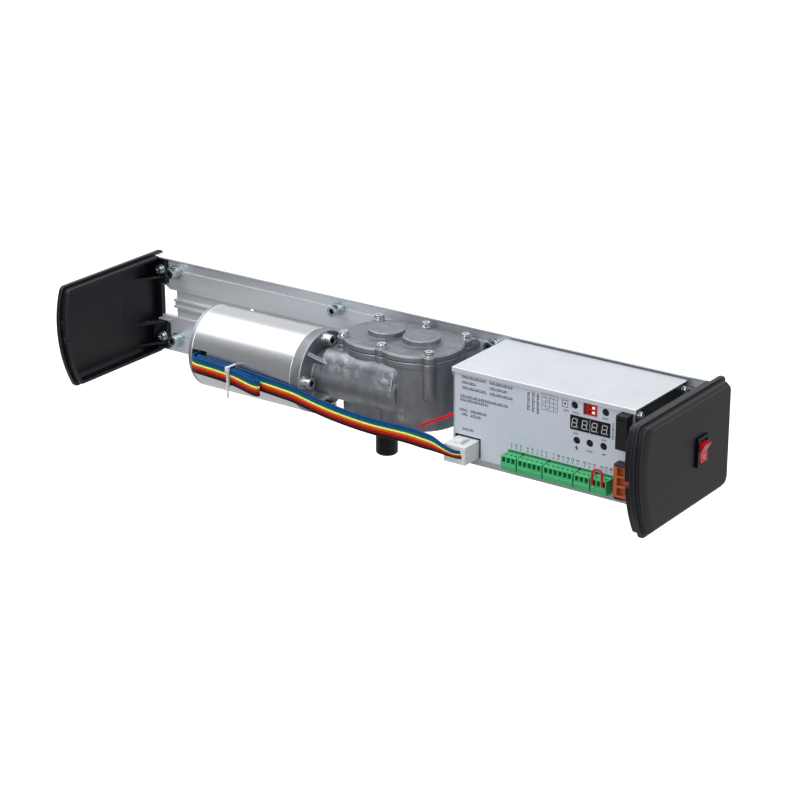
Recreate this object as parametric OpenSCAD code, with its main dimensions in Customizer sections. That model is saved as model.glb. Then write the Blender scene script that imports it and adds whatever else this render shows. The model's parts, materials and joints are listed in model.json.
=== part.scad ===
// Swing door operator: a motor and gearbox that turn a door-arm spindle, with its
// controller, on an aluminium base profile between two moulded end caps.
// The wall is the plane y = 0 and the front faces -Y. X runs along the profile with
// the spindle at x = 0, and z = 0 is the lower edge of the end caps.

/* [Base profile] */
// Distance from the last base screws to the end of the base profile
end_room = 13.5; // [13.5:0.5:60]
// Height of the base profile
profile_h = 80.6; // [80:0.1:84]
// How far the top flange reaches from the wall
flange_reach = 11.3; // [10:0.1:14]
// Thickness of the top flange
flange_t = 2; // [1.5:0.1:3]
// Thickness of the two screw bands
band_t = 4.5; // [3.8:0.1:5]
// Thickness of the floor between the bands
floor_t = 2.5; // [2:0.1:3.2]
// Height of the recess between the two bands
recess_h = 22.5; // [20:0.1:24]
// Height of the recess above the cap's lower edge
recess_z = 30; // [29:0.1:31]
// Height of the lower drill groove
groove_low_z = 14; // [12:0.1:16]
// Height of the upper drill groove
groove_high_z = 70; // [68:0.1:71]
// Length of the cable notch at each end of the profile
notch_len = 14; // [10:0.5:16]
// Distance between the wall holes along the profile
wall_hole_span = 320; // [300:1:340]
// Radius of the wall holes
wall_hole_r = 2.75; // [2.2:0.05:3.2]

/* [End caps] */
// Height of an end cap
cap_h = 83.5; // [83:0.1:88]
// Depth of an end cap at its most forward line
cap_depth = 124; // [118:0.5:140]
// Radius of the front curve above that line
cap_curve_up = 78; // [70:1:100]
// Radius of the front curve below that line
cap_curve_low = 105; // [95:1:140]
// Height of the most forward line
cap_belly_z = 54; // [48:0.5:58]
// Thickness of the cap's rim plate
rim_t = 3; // [2.5:0.1:4]
// Height of the domed outer panel beyond the rim
dome_h = 5; // [4:0.1:7]
// Wall of the moulding
cap_wall = 2.2; // [1.8:0.1:2.6]
// Reach of the lip that the front cover snaps over
lip_len = 5; // [4:0.1:7]

/* [Motor] */
// Radius of the motor can
can_r = 31.4; // [30:0.1:32]
// Length of the motor can
can_len = 92; // [80:1:96]
// Wall of the motor can
can_wall = 2; // [1.5:0.1:2.5]
// Height of the motor axis
motor_z = 44.2; // [43.8:0.1:44.6]
// Radius of the motor shaft
shaft_r = 4; // [3.5:0.1:4]

/* [Gearbox] */
// Distance of the spindle axis from the wall
spindle_d = 45.5; // [45.3:0.05:45.7]
// Radius of the gearbox cover's round ends
cover_r = 32.6; // [32.3:0.1:33]
// Distance between the centres of the two round ends
cover_span = 29; // [28.5:0.5:30]
// Height of the cover's top face
cover_top_z = 75.5; // [75:0.1:76.5]
// Thickness of the cover
cover_t = 4.5; // [4:0.1:5]
// Height of the gearbox floor's underside
body_low_z = 18; // [17.5:0.1:18.5]
// Wall of the gearbox housing
body_wall = 3.5; // [3:0.1:3.6]
// Radius of the two bearing bosses on the cover
boss_r = 13.7; // [12.5:0.1:14.5]
// Height of the two bearing bosses on the cover
boss_h = 4.8; // [4.5:0.1:5.5]
// Radius of the output spindle below the gearbox
spindle_r = 8.25; // [8:0.05:8.5]
// Height of the spindle's lower end
spindle_end_z = -18; // [-24:0.5:-14]
// Module of the spur gears
gear_module = 1.25; // [1.24:0.01:1.26]
// Teeth of the spur pinions
pinion_teeth = 16; // [15:1:16]
// Teeth of the large spur gears
gear_teeth = 34; // [33:1:34]
// Teeth of the worm wheel
wheel_teeth = 32; // [32:1:32]
// Pitch radius of the worm
worm_r = 6.5; // [6.3:0.1:6.8]
// Play between the flanks of meshing teeth
tooth_play = 0.22; // [0.18:0.01:0.3]

/* [Controller] */
// Left side of the controller box
box_x = 82.5; // [80:0.5:84]
// Width of the controller box
box_w = 146.2; // [140:0.1:147]
// Distance of the front panel's face from the wall
box_front = 80.5; // [80:0.1:84]
// Distance of the box's back wall from the wall
box_back = 11; // [10:0.1:13]
// Height of the box's underside
box_low_z = 8; // [7:0.1:8.5]
// Height of the box's top face
box_top_z = 78; // [77:0.1:79]
// Thickness of the folded sheet
sheet = 1.2; // [1:0.1:1.5]
// Distance between the poles of the terminal plugs
pole_pitch = 3.81; // [3.7:0.01:3.85]
// Travel of the push buttons
button_travel = 0.6; // [0.4:0.1:0.8]
// Radius of the push-button caps
button_r = 1.9; // [1.6:0.1:2.1]

/* [Hidden] */
$fn = 96;

// Radial clearance of a shaft that runs in a bore
running = 0.03;
// Gap between neighbouring pieces of different bodies
gap = 0.3;
// How far a cutter reaches past the face that it cuts
past = 1;

// Base profile. It is as long as the controller box and the last screws need.
box_end = box_x + box_w;
screw_room = 7.8;
profile_end = box_end + screw_room + end_room;
profile_len = profile_end * 2;
profile_low_z = 0.7;
profile_top_z = profile_low_z + profile_h;
recess_top_z = recess_z + recess_h;
groove_w = 1.1;
rib_t = 1.6;
rib_gap = 3.8;
rib_mid_z = recess_z + recess_h / 2 + 0.2;
notch_r = 12;
notch_mid_z = recess_z + notch_len;
notch_rib_step = 2;
wall_hole_rows = [rib_mid_z - 7, rib_mid_z + 7];

// Base screws
base_screw_r = 2.5;
base_screw_x = [18 - profile_end, -72, 69, profile_end - end_room];
base_screw_foot = 4.3;
socket_head_r = 4.25;
socket_head_h = 5;
socket_washer_r = 4.95;
washer_t = 1;
spring_washer_t = 1.4;

// End caps
cap_corner_r = 4.5;
cap_clear = 0.7;
cap_floor = rim_t + dome_h - cap_wall;
cap_root = 0.5;
slab_t = 0.02;
cap_screw_r = 2;
tab_len = min(8.4, end_room - socket_washer_r - 0.15);
cap_screw_x = profile_end - tab_len / 2;
tab_t = 4.5;
tab_half = 10.5;
tab_front = band_t + tab_t;
gusset_t = 1.8;
gusset_reach = 30;
snap_low_z = 40;
snap_h = 4;
rocker_y = -41;
rocker_z = 42.5;
rocker_w = 15;
rocker_h = 21;
rocker_wall = 1;
bezel_t = 2;
bezel_rim = 1.2;
rocker_tilt = 11;

// Motor. The worm and its wheel set the distance of the motor axis from the wall.
worm_module = 1;
motor_d = spindle_d + worm_module * wheel_teeth / 2 + worm_r;
flange_x = -48.1;
can_low_x = flange_x - can_len;
rear_ring = 3.5;
bearing_r = 11;
bearing_w = 7;
front_plate_t = 8;
can_inner_r = can_r - can_wall;
rear_bearing_x = can_low_x - 1;
front_bearing_x = flange_x - bearing_w;
stator_x = can_low_x + 18;
stator_len = can_len - 36;
stator_bore_r = 15;
slot_count = 9;
slot_r = 21;
slot_w = 7;
slot_depth = 9;
slot_mouth = [4, 2];
winding_end = 5;
magnet_r = stator_bore_r - 0.6;
core_r = 9;
window_len = 14;
window_low_z = 33;
window_top_z = 51;

// Gearbox
cover_mid_d = spindle_d + 0.8;
span_x = [1, 1 + cover_span];
body_r = cover_r - 0.4;
cavity_r = body_r - body_wall;
gasket_t = 0.5;
cover_low_z = cover_top_z - cover_t;
housing_top_z = cover_low_z - gasket_t;
housing_flange_t = 4.5;
floor_z = body_low_z + body_wall;
lug_r = 4.9;
lug_x = [span_x[0] - 23.5, (span_x[0] + span_x[1]) / 2, span_x[1] + 23.3];
lug_reach = [21.9, 27.9, 23.4];
lug_depth = spindle_d - 0.4;
cover_screw_r = 2;
tunnel_r = 17;
tunnel_end_x = 33;
tunnel_edge_r = 5;
worm_bore_r = 10;
flange_len = 8.6;
flange_bolt_r = 25.6;
flange_screw_r = 2.5;
web_t = 3;
spindle_boss_r = 15;
spindle_boss_low_z = 10;
inner_boss_top_z = 25;
spindle_bush_r = 11;
journal_r = spindle_r + 0.25;
idler_bush_r = 6;
cover_bush_r = 7;
seal_h = 3;
idler_r = 4;
top_journal_r = 5;
journal_top_z = cover_top_z + 1.3;
cover_bore_top_z = journal_top_z + 0.5;
idler_x = gear_module * (pinion_teeth + gear_teeth) / 2;
standoff_r = 3.6;
standoff_dx = 21.5;
standoff_z = [24, 66.4];
standoff_in_d = 30;
mount_screw_r = 2;
mount_screw_len = 16;
mount_head_r = 3.8;

// Gears
worm_starts = 2;
worm_len = 24;
worm_lead = PI * worm_module * worm_starts;
wheel_w = 10;
wheel_low_z = motor_z - wheel_w / 2;
upper_gear_z = 57;
upper_gear_w = 7;
upper_pinion_w = 8;
lower_gear_z = inner_boss_top_z + 1;
lower_gear_w = 9;
lower_pinion_w = 10;
wheel_hub_r = 8;
shoulder_z = wheel_low_z - 1.2;
worm_bearing_r = 9.5;
worm_bearing_w = 6;
worm_bearing_x = [-34, 22];
shaft_end_x = worm_bearing_x[1] + worm_bearing_w + 1;
bearing_block = [20, tunnel_end_x];

// Controller. What the panel carries is placed from the box's right side.
panel_low_z = box_low_z + 5;
hem_h = 3.5;
flap_h = 10;
lid_over = 0.8;
sheet_gap = 0.1;
side_screw_r = 1.5;
side_screw_z = box_top_z - 5.6;
side_screw_d = [box_front - 4.5, box_back + 5];
panel_back = box_front - sheet;
board_t = 1.6;
board_z = box_low_z + sheet + 4;
display_board_d = box_front - 7.5;
button_centres = [[box_end - 47.3, 70.5], [box_end - 22.9, 70.6], [box_end - 45, 45.4],
    [box_end - 34.7, 45.6], [box_end - 23.8, 45.8]];
button_gap = 0.8;
button_gap_back = button_travel + 0.1;
switch_side = 6;
switch_h = 2.7;
display_x = box_end - 50.4;
display_w = 31.4;
display_low_z = 53;
display_h = 10.3;
dip_x = box_end - 40.2;
dip_w = 10.6;
dip_low_z = 66;
dip_h = 8.2;
dip_slot = [5, 1.9];
dip_slider_w = 2.2;
dip_travel = 2;
dip_slot_x = dip_x + 4.6;
dip_rows = [68.4, 71.8];
fuse_x = box_end - 10.4;
fuse_w = 8.9;
fuse_low_z = 49.6;
fuse_h = 24.6;
fuse_proud = 8;
fuse_collar = 2;
fuse_depth = 26;
fuse_wall = 1.2;
fuse_glass_r = 2.5;
fuse_len = 20;
display_edge = 4.3;
display_board_z = 38;
display_board_h = 37;
display_post_z = [9, display_board_h - 13];
post_edge = 2;
post_r = 1.5;
transformer = [34, 28, 30];
line_filter = [20, 16, 16];
relay = [16, 12, 14];
capacitor_r = 5.5;
capacitor_h = 24;
plug_poles = [3, 5, 6, 3, 3];
plug_first_x = box_end - 97.3;
plug_gap = 1.9;
plug_side = 0.45;
plug_low_z = 14.4;
plug_h = 10.9;
plug_ledge_z = plug_low_z + 4.6;
plug_lean = 1.2;
plug_proud = 10.5;
header_low_z = board_z + board_t;
header_top_z = plug_low_z + plug_h + 1;
wire_hole = [2.6, 3.9];
wire_hole_depth = 6;
header_reach = 10;
mains_x = box_end - 11.4;
mains_w = 9.9;
mains_low_z = 15;
mains_h = 22.7;
mains_proud = 7.5;
socket_low = [box_x + 2.7, 13.2];
socket_size = [20.3, 14];
spacer_r = 5;
spacer_inset = 15;

// Cable routes: each point is x, y, z and, for the ribbon, its width there
ribbon_w = 12.6;
ribbon_t = 1;
ribbon_route = [
    [-137, -96, 42.8, ribbon_w], [-137.4, -101, 42.8, ribbon_w], [-136, -105.4, 42.8, ribbon_w],
    [-132, -107.4, 42.7, ribbon_w], [-122, -107.6, 42.3, ribbon_w], [-110, -107.3, 41.4, ribbon_w],
    [-98, -107, 40.2, ribbon_w], [-86, -107.2, 38.2, ribbon_w], [-76, -107.4, 36.4, ribbon_w],
    [-73, -106.8, 36, ribbon_w], [-72, -105.6, 35.9, ribbon_w], [-73, -104.5, 36, ribbon_w],
    [-76, -104.1, 36.4, ribbon_w], [-86, -104.2, 38.2, ribbon_w], [-98, -104.3, 40.2, ribbon_w],
    [-112, -104.4, 41.5, ribbon_w], [-126, -104.6, 42.4, ribbon_w], [-129.5, -104.2, 42.6, ribbon_w],
    [-130.8, -103, 42.6, ribbon_w], [-129.5, -101.9, 42.6, ribbon_w], [-126, -101.5, 42.3, ribbon_w],
    [-112, -101.4, 41.6, ribbon_w], [-98, -101.5, 40.4, ribbon_w], [-84, -101.4, 39.2, ribbon_w],
    [-70, -101.3, 38, ribbon_w], [-56, -101, 36.8, ribbon_w], [-44, -100.4, 35.4, ribbon_w],
    [-30, -99, 31.8, ribbon_w], [-15, -98.5, 29, ribbon_w], [0, -98.3, 26.7, ribbon_w],
    [15, -98.2, 24.9, ribbon_w], [30, -98.2, 23.6, ribbon_w], [45, -98.4, 23.6, ribbon_w],
    [60, -98.8, 24, ribbon_w], [74, -99.6, 24, ribbon_w - 1], [84, -100.2, 23.4, ribbon_w - 4],
    [93, -100.2, 22.8, ribbon_w - 6], [98, -99.7, 22.4, ribbon_w - 7], [100, -98.9, 22.2, ribbon_w - 7]
];
plug_face = [socket_low[0] + 1, -98, 13.5];
plug_block = [18, 18.6, 13.4];
tie_x = -98;
lead_r = 1.3;
lead_route = [
    [84.5, -77, 42], [81, -77, 41.1], [76, -77.5, 38.4], [70.7, -78, 35.5], [66, -78, 33.1], [61.3, -78, 30.6],
    [56.5, -78, 27.8], [53, -77.9, 25.6], [51.3, -77, 24.5], [50.7, -75.6, 24.1], [50.6, -74, 24]
];

// Placing helpers. Sections along the profile are drawn in (y, z), fronts in (x, z).
module along_x(low_x, length) {
    translate([low_x, 0, 0]) rotate([90, 0, 90]) linear_extrude(length) children();
}
module to_front(depth, length) {
    translate([0, -depth, 0]) rotate([90, 0, 0]) linear_extrude(length) children();
}
module rod_x(low_x, length, r) {
    translate([low_x, -motor_d, motor_z]) rotate([0, 90, 0]) cylinder(h = length, r = r);
}
module rod_z(x, d, low_z, top_z, r) {
    translate([x, -d, low_z]) cylinder(h = top_z - low_z, r = r);
}
module rod_front(x, z, depth, length, r) {
    translate([x, -depth, z]) rotate([90, 0, 0]) cylinder(h = length, r = r);
}
module front_box(low_x, low_z, w, h, depth, length) {
    translate([low_x, -depth - length, low_z]) cube([w, length, h]);
}
// Screws stand on z = 0 with the head up and the shank down
module pan_screw(shank_r, shank_len) {
    translate([0, 0, -shank_len]) cylinder(h = shank_len + washer_t, r = shank_r, $fn = 24);
    cylinder(h = washer_t, r = shank_r * 2.1, $fn = 32);
    difference() {
        translate([0, 0, washer_t]) rotate_extrude($fn = 32) {
            square([shank_r * 1.9, shank_r]);
            translate([0, shank_r]) square([shank_r * 1.5, shank_r * 0.45]);
        }
        for (turn = [0, 90]) rotate(turn)
            translate([0, 0, washer_t + shank_r * 1.45]) cube([shank_r * 2, 0.7, 1.8], center = true);
    }
}
module socket_screw(shank_r, shank_len) {
    translate([0, 0, -shank_len]) cylinder(h = shank_len + washer_t, r = shank_r, $fn = 24);
    cylinder(h = washer_t, r = socket_washer_r, $fn = 32);
    translate([0, 0, washer_t]) cylinder(h = spring_washer_t, r = socket_head_r + 0.2, $fn = 32);
    difference() {
        translate([0, 0, washer_t + spring_washer_t])
            cylinder(h = socket_head_h, r = socket_head_r, $fn = 32);
        translate([0, 0, washer_t + spring_washer_t + socket_head_h - 2.6])
            cylinder(h = 3, r = shank_r * 0.92, $fn = 6);
    }
}

// Base profile
module profile_section() {
    difference() {
        union() {
            translate([-floor_t, profile_low_z]) square([floor_t, profile_h]);
            translate([-band_t, profile_low_z]) square([band_t, recess_z - profile_low_z]);
            translate([-band_t, recess_top_z]) square([band_t, profile_top_z - recess_top_z]);
            for (side = [-1, 1])
                translate([-band_t, rib_mid_z + side * (rib_gap + rib_t) / 2 - rib_t / 2])
                    square([band_t, rib_t]);
            translate([flange_t / 2 - flange_reach, profile_top_z - flange_t])
                square([flange_reach - flange_t / 2, flange_t]);
            translate([flange_t / 2 - flange_reach, profile_top_z - flange_t / 2]) circle(flange_t / 2, $fn = 24);
        }
        for (z = [groove_low_z, groove_high_z])
            translate([-band_t, z]) rotate(45) square(groove_w, center = true);
        translate([-flange_reach * 0.6, profile_top_z]) rotate(45) square(groove_w / 2, center = true);
    }
}
module cable_notch() {
    to_front(-past, band_t + 2 * past) {
        difference() {
            translate([-profile_end - past, recess_z]) square([notch_len + past, recess_h]);
            translate([notch_len - notch_rib_step - profile_end, rib_mid_z - rib_gap / 2 - rib_t])
                square([notch_rib_step * 2, rib_gap + rib_t * 2]);
        }
        translate([-profile_end, notch_mid_z]) intersection() {
            circle(notch_r);
            translate([-notch_r, 0]) square(notch_r * 2);
        }
    }
}
module base_profile() {
    color("gainsboro") difference() {
        along_x(-profile_end, profile_len) profile_section();
        cable_notch();
        mirror([1, 0, 0]) cable_notch();
        for (side = [-1, 1], z = wall_hole_rows)
            rod_front(side * wall_hole_span / 2, z, -past, band_t + 2 * past, wall_hole_r);
        for (x = base_screw_x, z = [groove_low_z, groove_high_z])
            rod_front(x, z, -past, band_t + 2 * past, base_screw_r);
        for (side = [-1, 1], z = [groove_low_z, groove_high_z])
            rod_front(side * cap_screw_x, z, -past, band_t + 2 * past, cap_screw_r);
        for (x = standoff_x(), z = standoff_z) {
            rod_front(x, z, -past, band_t + 2 * past, mount_screw_r);
            translate([x, 0, z]) rotate([90, 0, 0])
                cylinder(h = mount_head_r - mount_screw_r, r1 = mount_head_r, r2 = mount_screw_r);
        }
        for (x = spacer_x(), z = spacer_z())
            rod_front(x, z, -past, band_t + 2 * past, mount_screw_r);
    }
}
module base_screws() {
    color("silver") for (x = base_screw_x, z = [groove_low_z, groove_high_z]) {
        difference() {
            rod_front(x, z, band_t, base_screw_foot, socket_head_r);
            rod_front(x, z, band_t - past, base_screw_foot + 2 * past, base_screw_r);
        }
        translate([x, -band_t - base_screw_foot, z]) rotate([90, 0, 0])
            socket_screw(base_screw_r, base_screw_foot + band_t - 0.5);
    }
}

// End caps, drawn as the right one: u is the distance out from the end of the profile
module cap_outline() {
    intersection() {
        translate([-cap_depth, 0]) square([cap_depth, cap_h]);
        union() {
            intersection() {
                translate([cap_curve_up - cap_depth, cap_belly_z]) circle(cap_curve_up, $fn = 120);
                translate([-cap_depth, cap_belly_z]) square([cap_depth, cap_h]);
            }
            intersection() {
                translate([cap_curve_low - cap_depth, cap_belly_z]) circle(cap_curve_low, $fn = 140);
                translate([-cap_depth, cap_belly_z - cap_h]) square([cap_depth, cap_h]);
            }
        }
    }
}
module cap_shape(inset) {
    offset(r = cap_corner_r, $fn = 32) offset(delta = -cap_corner_r - inset) cap_outline();
}
module dome_slab(u, inset, wall, set_back) {
    intersection() {
        along_x(profile_end + u - slab_t, slab_t) translate([set_back, 0]) cap_shape(inset + wall);
        translate([profile_end + u - past, -cap_depth, 0]) cube([3 * past, cap_depth - wall, cap_h]);
    }
}
module dome(wall) {
    hull() {
        dome_slab(rim_t, 2, wall, 0);
        dome_slab(rim_t + dome_h * 0.6 - wall, 2.8, wall, 0.8);
        dome_slab(rim_t + dome_h - wall, 5.4, wall, 4.4);
    }
}
module screw_tab(mid_z) {
    translate([profile_end - tab_len, -tab_front, mid_z - tab_half]) 
        cube([tab_len + cap_floor + cap_root, tab_t, tab_half * 2]);
}
module gusset(z) {
    translate([profile_end, 0, z]) linear_extrude(gusset_t)
        polygon([[-tab_len + 2, -band_t - 1], [-tab_len + 2, -tab_front], [cap_floor, -gusset_reach],
            [cap_floor + cap_root, -gusset_reach], [cap_floor + cap_root, -band_t - 1]]);
}
module end_cap() {
    tab_mids = [groove_low_z, groove_high_z - 1.5];
    difference() {
        union() {
            difference() {
                union() {
                    along_x(profile_end, rim_t) cap_shape(0);
                    dome(0);
                    intersection() {
                        along_x(profile_end - lip_len, lip_len) cap_shape(cap_wall);
                        translate([0, -cap_depth - past, -past])
                            cube([profile_len, cap_depth + past - flange_reach - cap_clear, cap_h + 2 * past]);
                    }
                }
                along_x(profile_end - lip_len - past, lip_len + past + rim_t) cap_shape(cap_wall * 2);
                dome(cap_wall);
                translate([profile_end - lip_len - past, -cap_depth, snap_low_z])
                    cube([lip_len - 1, cap_wall * 4, snap_h]);
            }
            for (z = tab_mids) screw_tab(z);
            for (z = [groove_low_z - 6.4, groove_low_z + 11, groove_high_z - 7.2]) gusset(z);
        }
        for (z = [groove_low_z, groove_high_z])
            rod_front(cap_screw_x, z, band_t - past, tab_t + 2 * past, cap_screw_r + 0.1);
    }
}
module end_cap_left() {
    color("dimgray") mirror([1, 0, 0]) difference() {
        end_cap();
        // Outline of the switch opening, left as a knock-out
        translate([profile_end + cap_floor - 0.6, 0, 0]) rotate([90, 0, 90]) linear_extrude(past)
            difference() {
                translate([rocker_y - 19, rocker_z - 9]) square([13, 20.5]);
                translate([rocker_y - 18.3, rocker_z - 8.3]) square([11.6, 19.1]);
            }
    }
}
module end_cap_right() {
    color("dimgray") difference() {
        end_cap();
        translate([profile_end, rocker_y - rocker_w / 2 + rocker_wall, rocker_z - rocker_h / 2 + rocker_wall])
            cube([rim_t + dome_h + past, rocker_w - 2 * rocker_wall, rocker_h - 2 * rocker_wall]);
    }
}
module cap_screws() {
    color("silver") for (side = [-1, 1], z = [groove_low_z, groove_high_z])
        translate([side * cap_screw_x, -tab_front, z]) rotate([90, 0, 0])
            pan_screw(cap_screw_r, tab_front - 0.5);
}

// Rocker switch in the right cap
module switch_body() {
    mid_x = profile_end + rim_t + dome_h;
    body_w = rocker_w - 2 * rocker_wall - 0.2;
    body_h = rocker_h - 2 * rocker_wall - 0.2;
    color("black") difference() {
        union() {
            translate([mid_x, rocker_y - rocker_w / 2, rocker_z - rocker_h / 2])
                cube([bezel_t, rocker_w, rocker_h]);
            translate([mid_x - 14, rocker_y - body_w / 2, rocker_z - body_h / 2]) cube([14, body_w, body_h]);
            for (side = [-1, 1])
                translate([mid_x - 21, rocker_y - 2.4, rocker_z + side * 5 - 0.4]) cube([8, 4.8, 0.8]);
        }
        translate([mid_x - 8, rocker_y - rocker_w / 2 + rocker_wall + bezel_rim, rocker_z - rocker_h / 2 + 2])
            cube([8 + bezel_t + past, rocker_w - 2 * (rocker_wall + bezel_rim), rocker_h - 4]);
    }
}
module rocker_button() {
    pivot_x = profile_end + rim_t + dome_h - 2;
    half_w = rocker_w / 2 - rocker_wall - bezel_rim - gap;
    side = [[-3.5, -5.5], [1.5, -7], [6.2, -7], [4.4, 0], [6.2, 7], [1.5, 7], [-3.5, 5.5]];
    color("red") translate([pivot_x, rocker_y + half_w, rocker_z]) rotate([90, 0, 0])
        linear_extrude(half_w * 2) rotate(-rocker_tilt) polygon(side);
}

// Motor
module motor_can() {
    color("silver") difference() {
        rod_x(can_low_x, can_len, can_r);
        rod_x(can_low_x - past, can_len + 2 * past, can_inner_r);
        translate([can_low_x - past, -motor_d - can_r - past, window_low_z])
            cube([window_len + past, can_r, window_top_z - window_low_z]);
    }
}
module motor_rear_cover() {
    color("darkgray") difference() {
        union() {
            rod_x(can_low_x - rear_ring, rear_ring, can_r);
            rod_x(can_low_x, bearing_w - 0.5, bearing_r + 3);
        }
        rod_x(rear_bearing_x, bearing_w + past, bearing_r);
    }
}
module motor_front_plate() {
    color("gray") difference() {
        rod_x(flange_x - front_plate_t, front_plate_t, can_inner_r);
        rod_x(front_bearing_x, bearing_w + past, bearing_r);
        rod_x(flange_x - front_plate_t - past, front_plate_t, shaft_r + 2);
        flange_bolts() rod_x(flange_x - front_plate_t - past, front_plate_t + 2 * past, flange_screw_r);
    }
}
module flange_bolts() {
    for (turn = [0:90:270]) translate([0, -flange_bolt_r * sin(turn), flange_bolt_r * cos(turn)]) children();
}
module ring_x(low_x, length, r_out, r_in) {
    difference() {
        rod_x(low_x, length, r_out);
        rod_x(low_x - past, length + 2 * past, r_in);
    }
}
module slots(width, depth) {
    for (i = [0:slot_count - 1]) rotate(i * 360 / slot_count)
        translate([slot_r, 0]) square([depth, width], center = true);
}
module motor_stator() {
    color("slategray") translate([stator_x, -motor_d, motor_z]) rotate([0, 90, 0]) linear_extrude(stator_len)
        difference() {
            circle(can_inner_r);
            circle(stator_bore_r);
            slots(slot_w, slot_depth);
            for (i = [0:slot_count - 1]) rotate(i * 360 / slot_count)
                translate([stator_bore_r, 0]) square(slot_mouth, center = true);
        }
}
module motor_windings() {
    wound_len = stator_len + 2 * gap;
    color("peru") translate([stator_x - gap, -motor_d, motor_z]) rotate([0, 90, 0]) {
        linear_extrude(wound_len) slots(slot_w - gap, slot_depth - gap);
        for (z = [-winding_end, wound_len]) translate([0, 0, z]) linear_extrude(winding_end) difference() {
            circle(slot_r + slot_depth / 2);
            circle(slot_r - slot_depth / 2);
        }
    }
}
module motor_sensor_board() {
    color("green") ring_x(can_low_x + 4, board_t, can_inner_r - 0.5, bearing_r + 4);
}
module motor_bearings() {
    color("lightgray") for (x = [rear_bearing_x, front_bearing_x]) bearing(x, bearing_w, bearing_r, shaft_r);
}
module bearing(low_x, width, r_out, r_in) {
    groove = (r_out - r_in) / 3;
    translate([low_x, -motor_d, motor_z]) rotate([0, 90, 0]) rotate_extrude() difference() {
        translate([r_in + running, 0]) square([r_out - r_in - running, width]);
        for (y = [0, width]) translate([r_in + running + groove, y - 0.5]) square([groove, 1]);
    }
}
module rotor_shaft() {
    color("silver") {
        rod_x(rear_bearing_x + 0.5, shaft_end_x - rear_bearing_x - 0.5, shaft_r);
        rod_x(stator_x, stator_len, core_r);
    }
}
module rotor_magnets() {
    color("dimgray") ring_x(stator_x, stator_len, magnet_r, core_r);
}

// Gear outlines
function inv(a) = tan(a) * 180 / PI - a;
function tooth_half(m, teeth, r) =
    let (rp = m * teeth / 2, rb = rp * cos(20), a = r > rb ? acos(rb / r) : 0)
    90 / teeth - tooth_play / 4 / rp * 180 / PI + inv(20) - inv(a);
function polar(r, a) = [r * cos(a), r * sin(a)];
module gear_outline(m, teeth, steps) {
    rp = m * teeth / 2;
    low = max(rp * cos(20), rp - 1.25 * m);
    tip = rp + m;
    radii = concat([rp - 1.25 * m], [for (i = [0:steps]) low + (tip - low) * i / steps]);
    n = len(radii);
    polygon([for (t = [0:teeth - 1], k = [0:2 * n - 1])
        let (r = k < n ? radii[k] : radii[2 * n - 1 - k], side = k < n ? -1 : 1)
        polar(r, t * 360 / teeth + side * tooth_half(m, teeth, r))]);
}
module worm_outline() {
    root = worm_r - 1.2 * worm_module;
    tip = worm_r + worm_module;
    half = PI * worm_module / 4 - tooth_play / 4;
    steps = 4;
    function turn_at(r) = (half - (r - worm_r) * tan(20)) * 360 / worm_lead;
    polygon([for (s = [0:worm_starts - 1], k = [0:2 * steps + 2])
        let (r = root + (tip - root) * (k <= steps ? k : 2 * steps + 1 - k) / steps)
        k == 2 * steps + 2 ? polar(root, (s + 0.5) * 360 / worm_starts)
            : polar(r, s * 360 / worm_starts + (k <= steps ? -1 : 1) * turn_at(r))]);
}
module worm() {
    turns = worm_len / worm_lead;
    color("silver") difference() {
        translate([-worm_len / 2, -motor_d, motor_z]) rotate([0, 90, 0]) rotate(90 - turns * 180)
            linear_extrude(worm_len, twist = -360 * turns, slices = 64, segments = 22) worm_outline();
        rod_x(-worm_len / 2 - past, worm_len + 2 * past, shaft_r);
    }
}
module worm_wheel() {
    wheel_r = worm_module * wheel_teeth / 2;
    twist_angle = wheel_w * worm_lead / (2 * PI * worm_r) / wheel_r * 180 / PI;
    color("goldenrod") difference() {
        translate([0, -spindle_d, wheel_low_z]) rotate(180 / wheel_teeth - 90 - twist_angle / 2)
            linear_extrude(wheel_w, twist = -twist_angle, slices = 3, segments = 96)
                gear_outline(worm_module, wheel_teeth, 2);
        rod_z(0, spindle_d, wheel_low_z - past, wheel_low_z + wheel_w + past, wheel_hub_r);
    }
}
module wheel_pinion() {
    color("silver") difference() {
        union() {
            rod_z(0, spindle_d, shoulder_z + gap, wheel_low_z + wheel_w, wheel_hub_r);
            translate([0, -spindle_d, wheel_low_z + wheel_w])
                linear_extrude(upper_gear_z + upper_pinion_w - wheel_low_z - wheel_w)
                    gear_outline(gear_module, pinion_teeth, 3);
        }
        rod_z(0, spindle_d, shoulder_z - past, upper_gear_z + upper_pinion_w + past, top_journal_r + running);
    }
}
module idler_shaft() {
    color("silver") {
        rod_z(idler_x, spindle_d, inner_boss_top_z - 4.5, journal_top_z, idler_r);
        translate([idler_x, -spindle_d, inner_boss_top_z + 0.5]) linear_extrude(lower_pinion_w)
            gear_outline(gear_module, pinion_teeth, 3);
    }
}
module idler_gear() {
    color("goldenrod") difference() {
        translate([idler_x, -spindle_d, upper_gear_z]) linear_extrude(upper_gear_w)
            rotate(180 / gear_teeth) gear_outline(gear_module, gear_teeth, 2);
        rod_z(idler_x, spindle_d, upper_gear_z - past, upper_gear_z + upper_gear_w + past, idler_r);
    }
}
module output_gear() {
    color("slategray") difference() {
        translate([0, -spindle_d, lower_gear_z]) linear_extrude(lower_gear_w)
            rotate(180 / gear_teeth) gear_outline(gear_module, gear_teeth, 2);
        rod_z(0, spindle_d, lower_gear_z - past, lower_gear_z + lower_gear_w + past, journal_r);
    }
}
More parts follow.
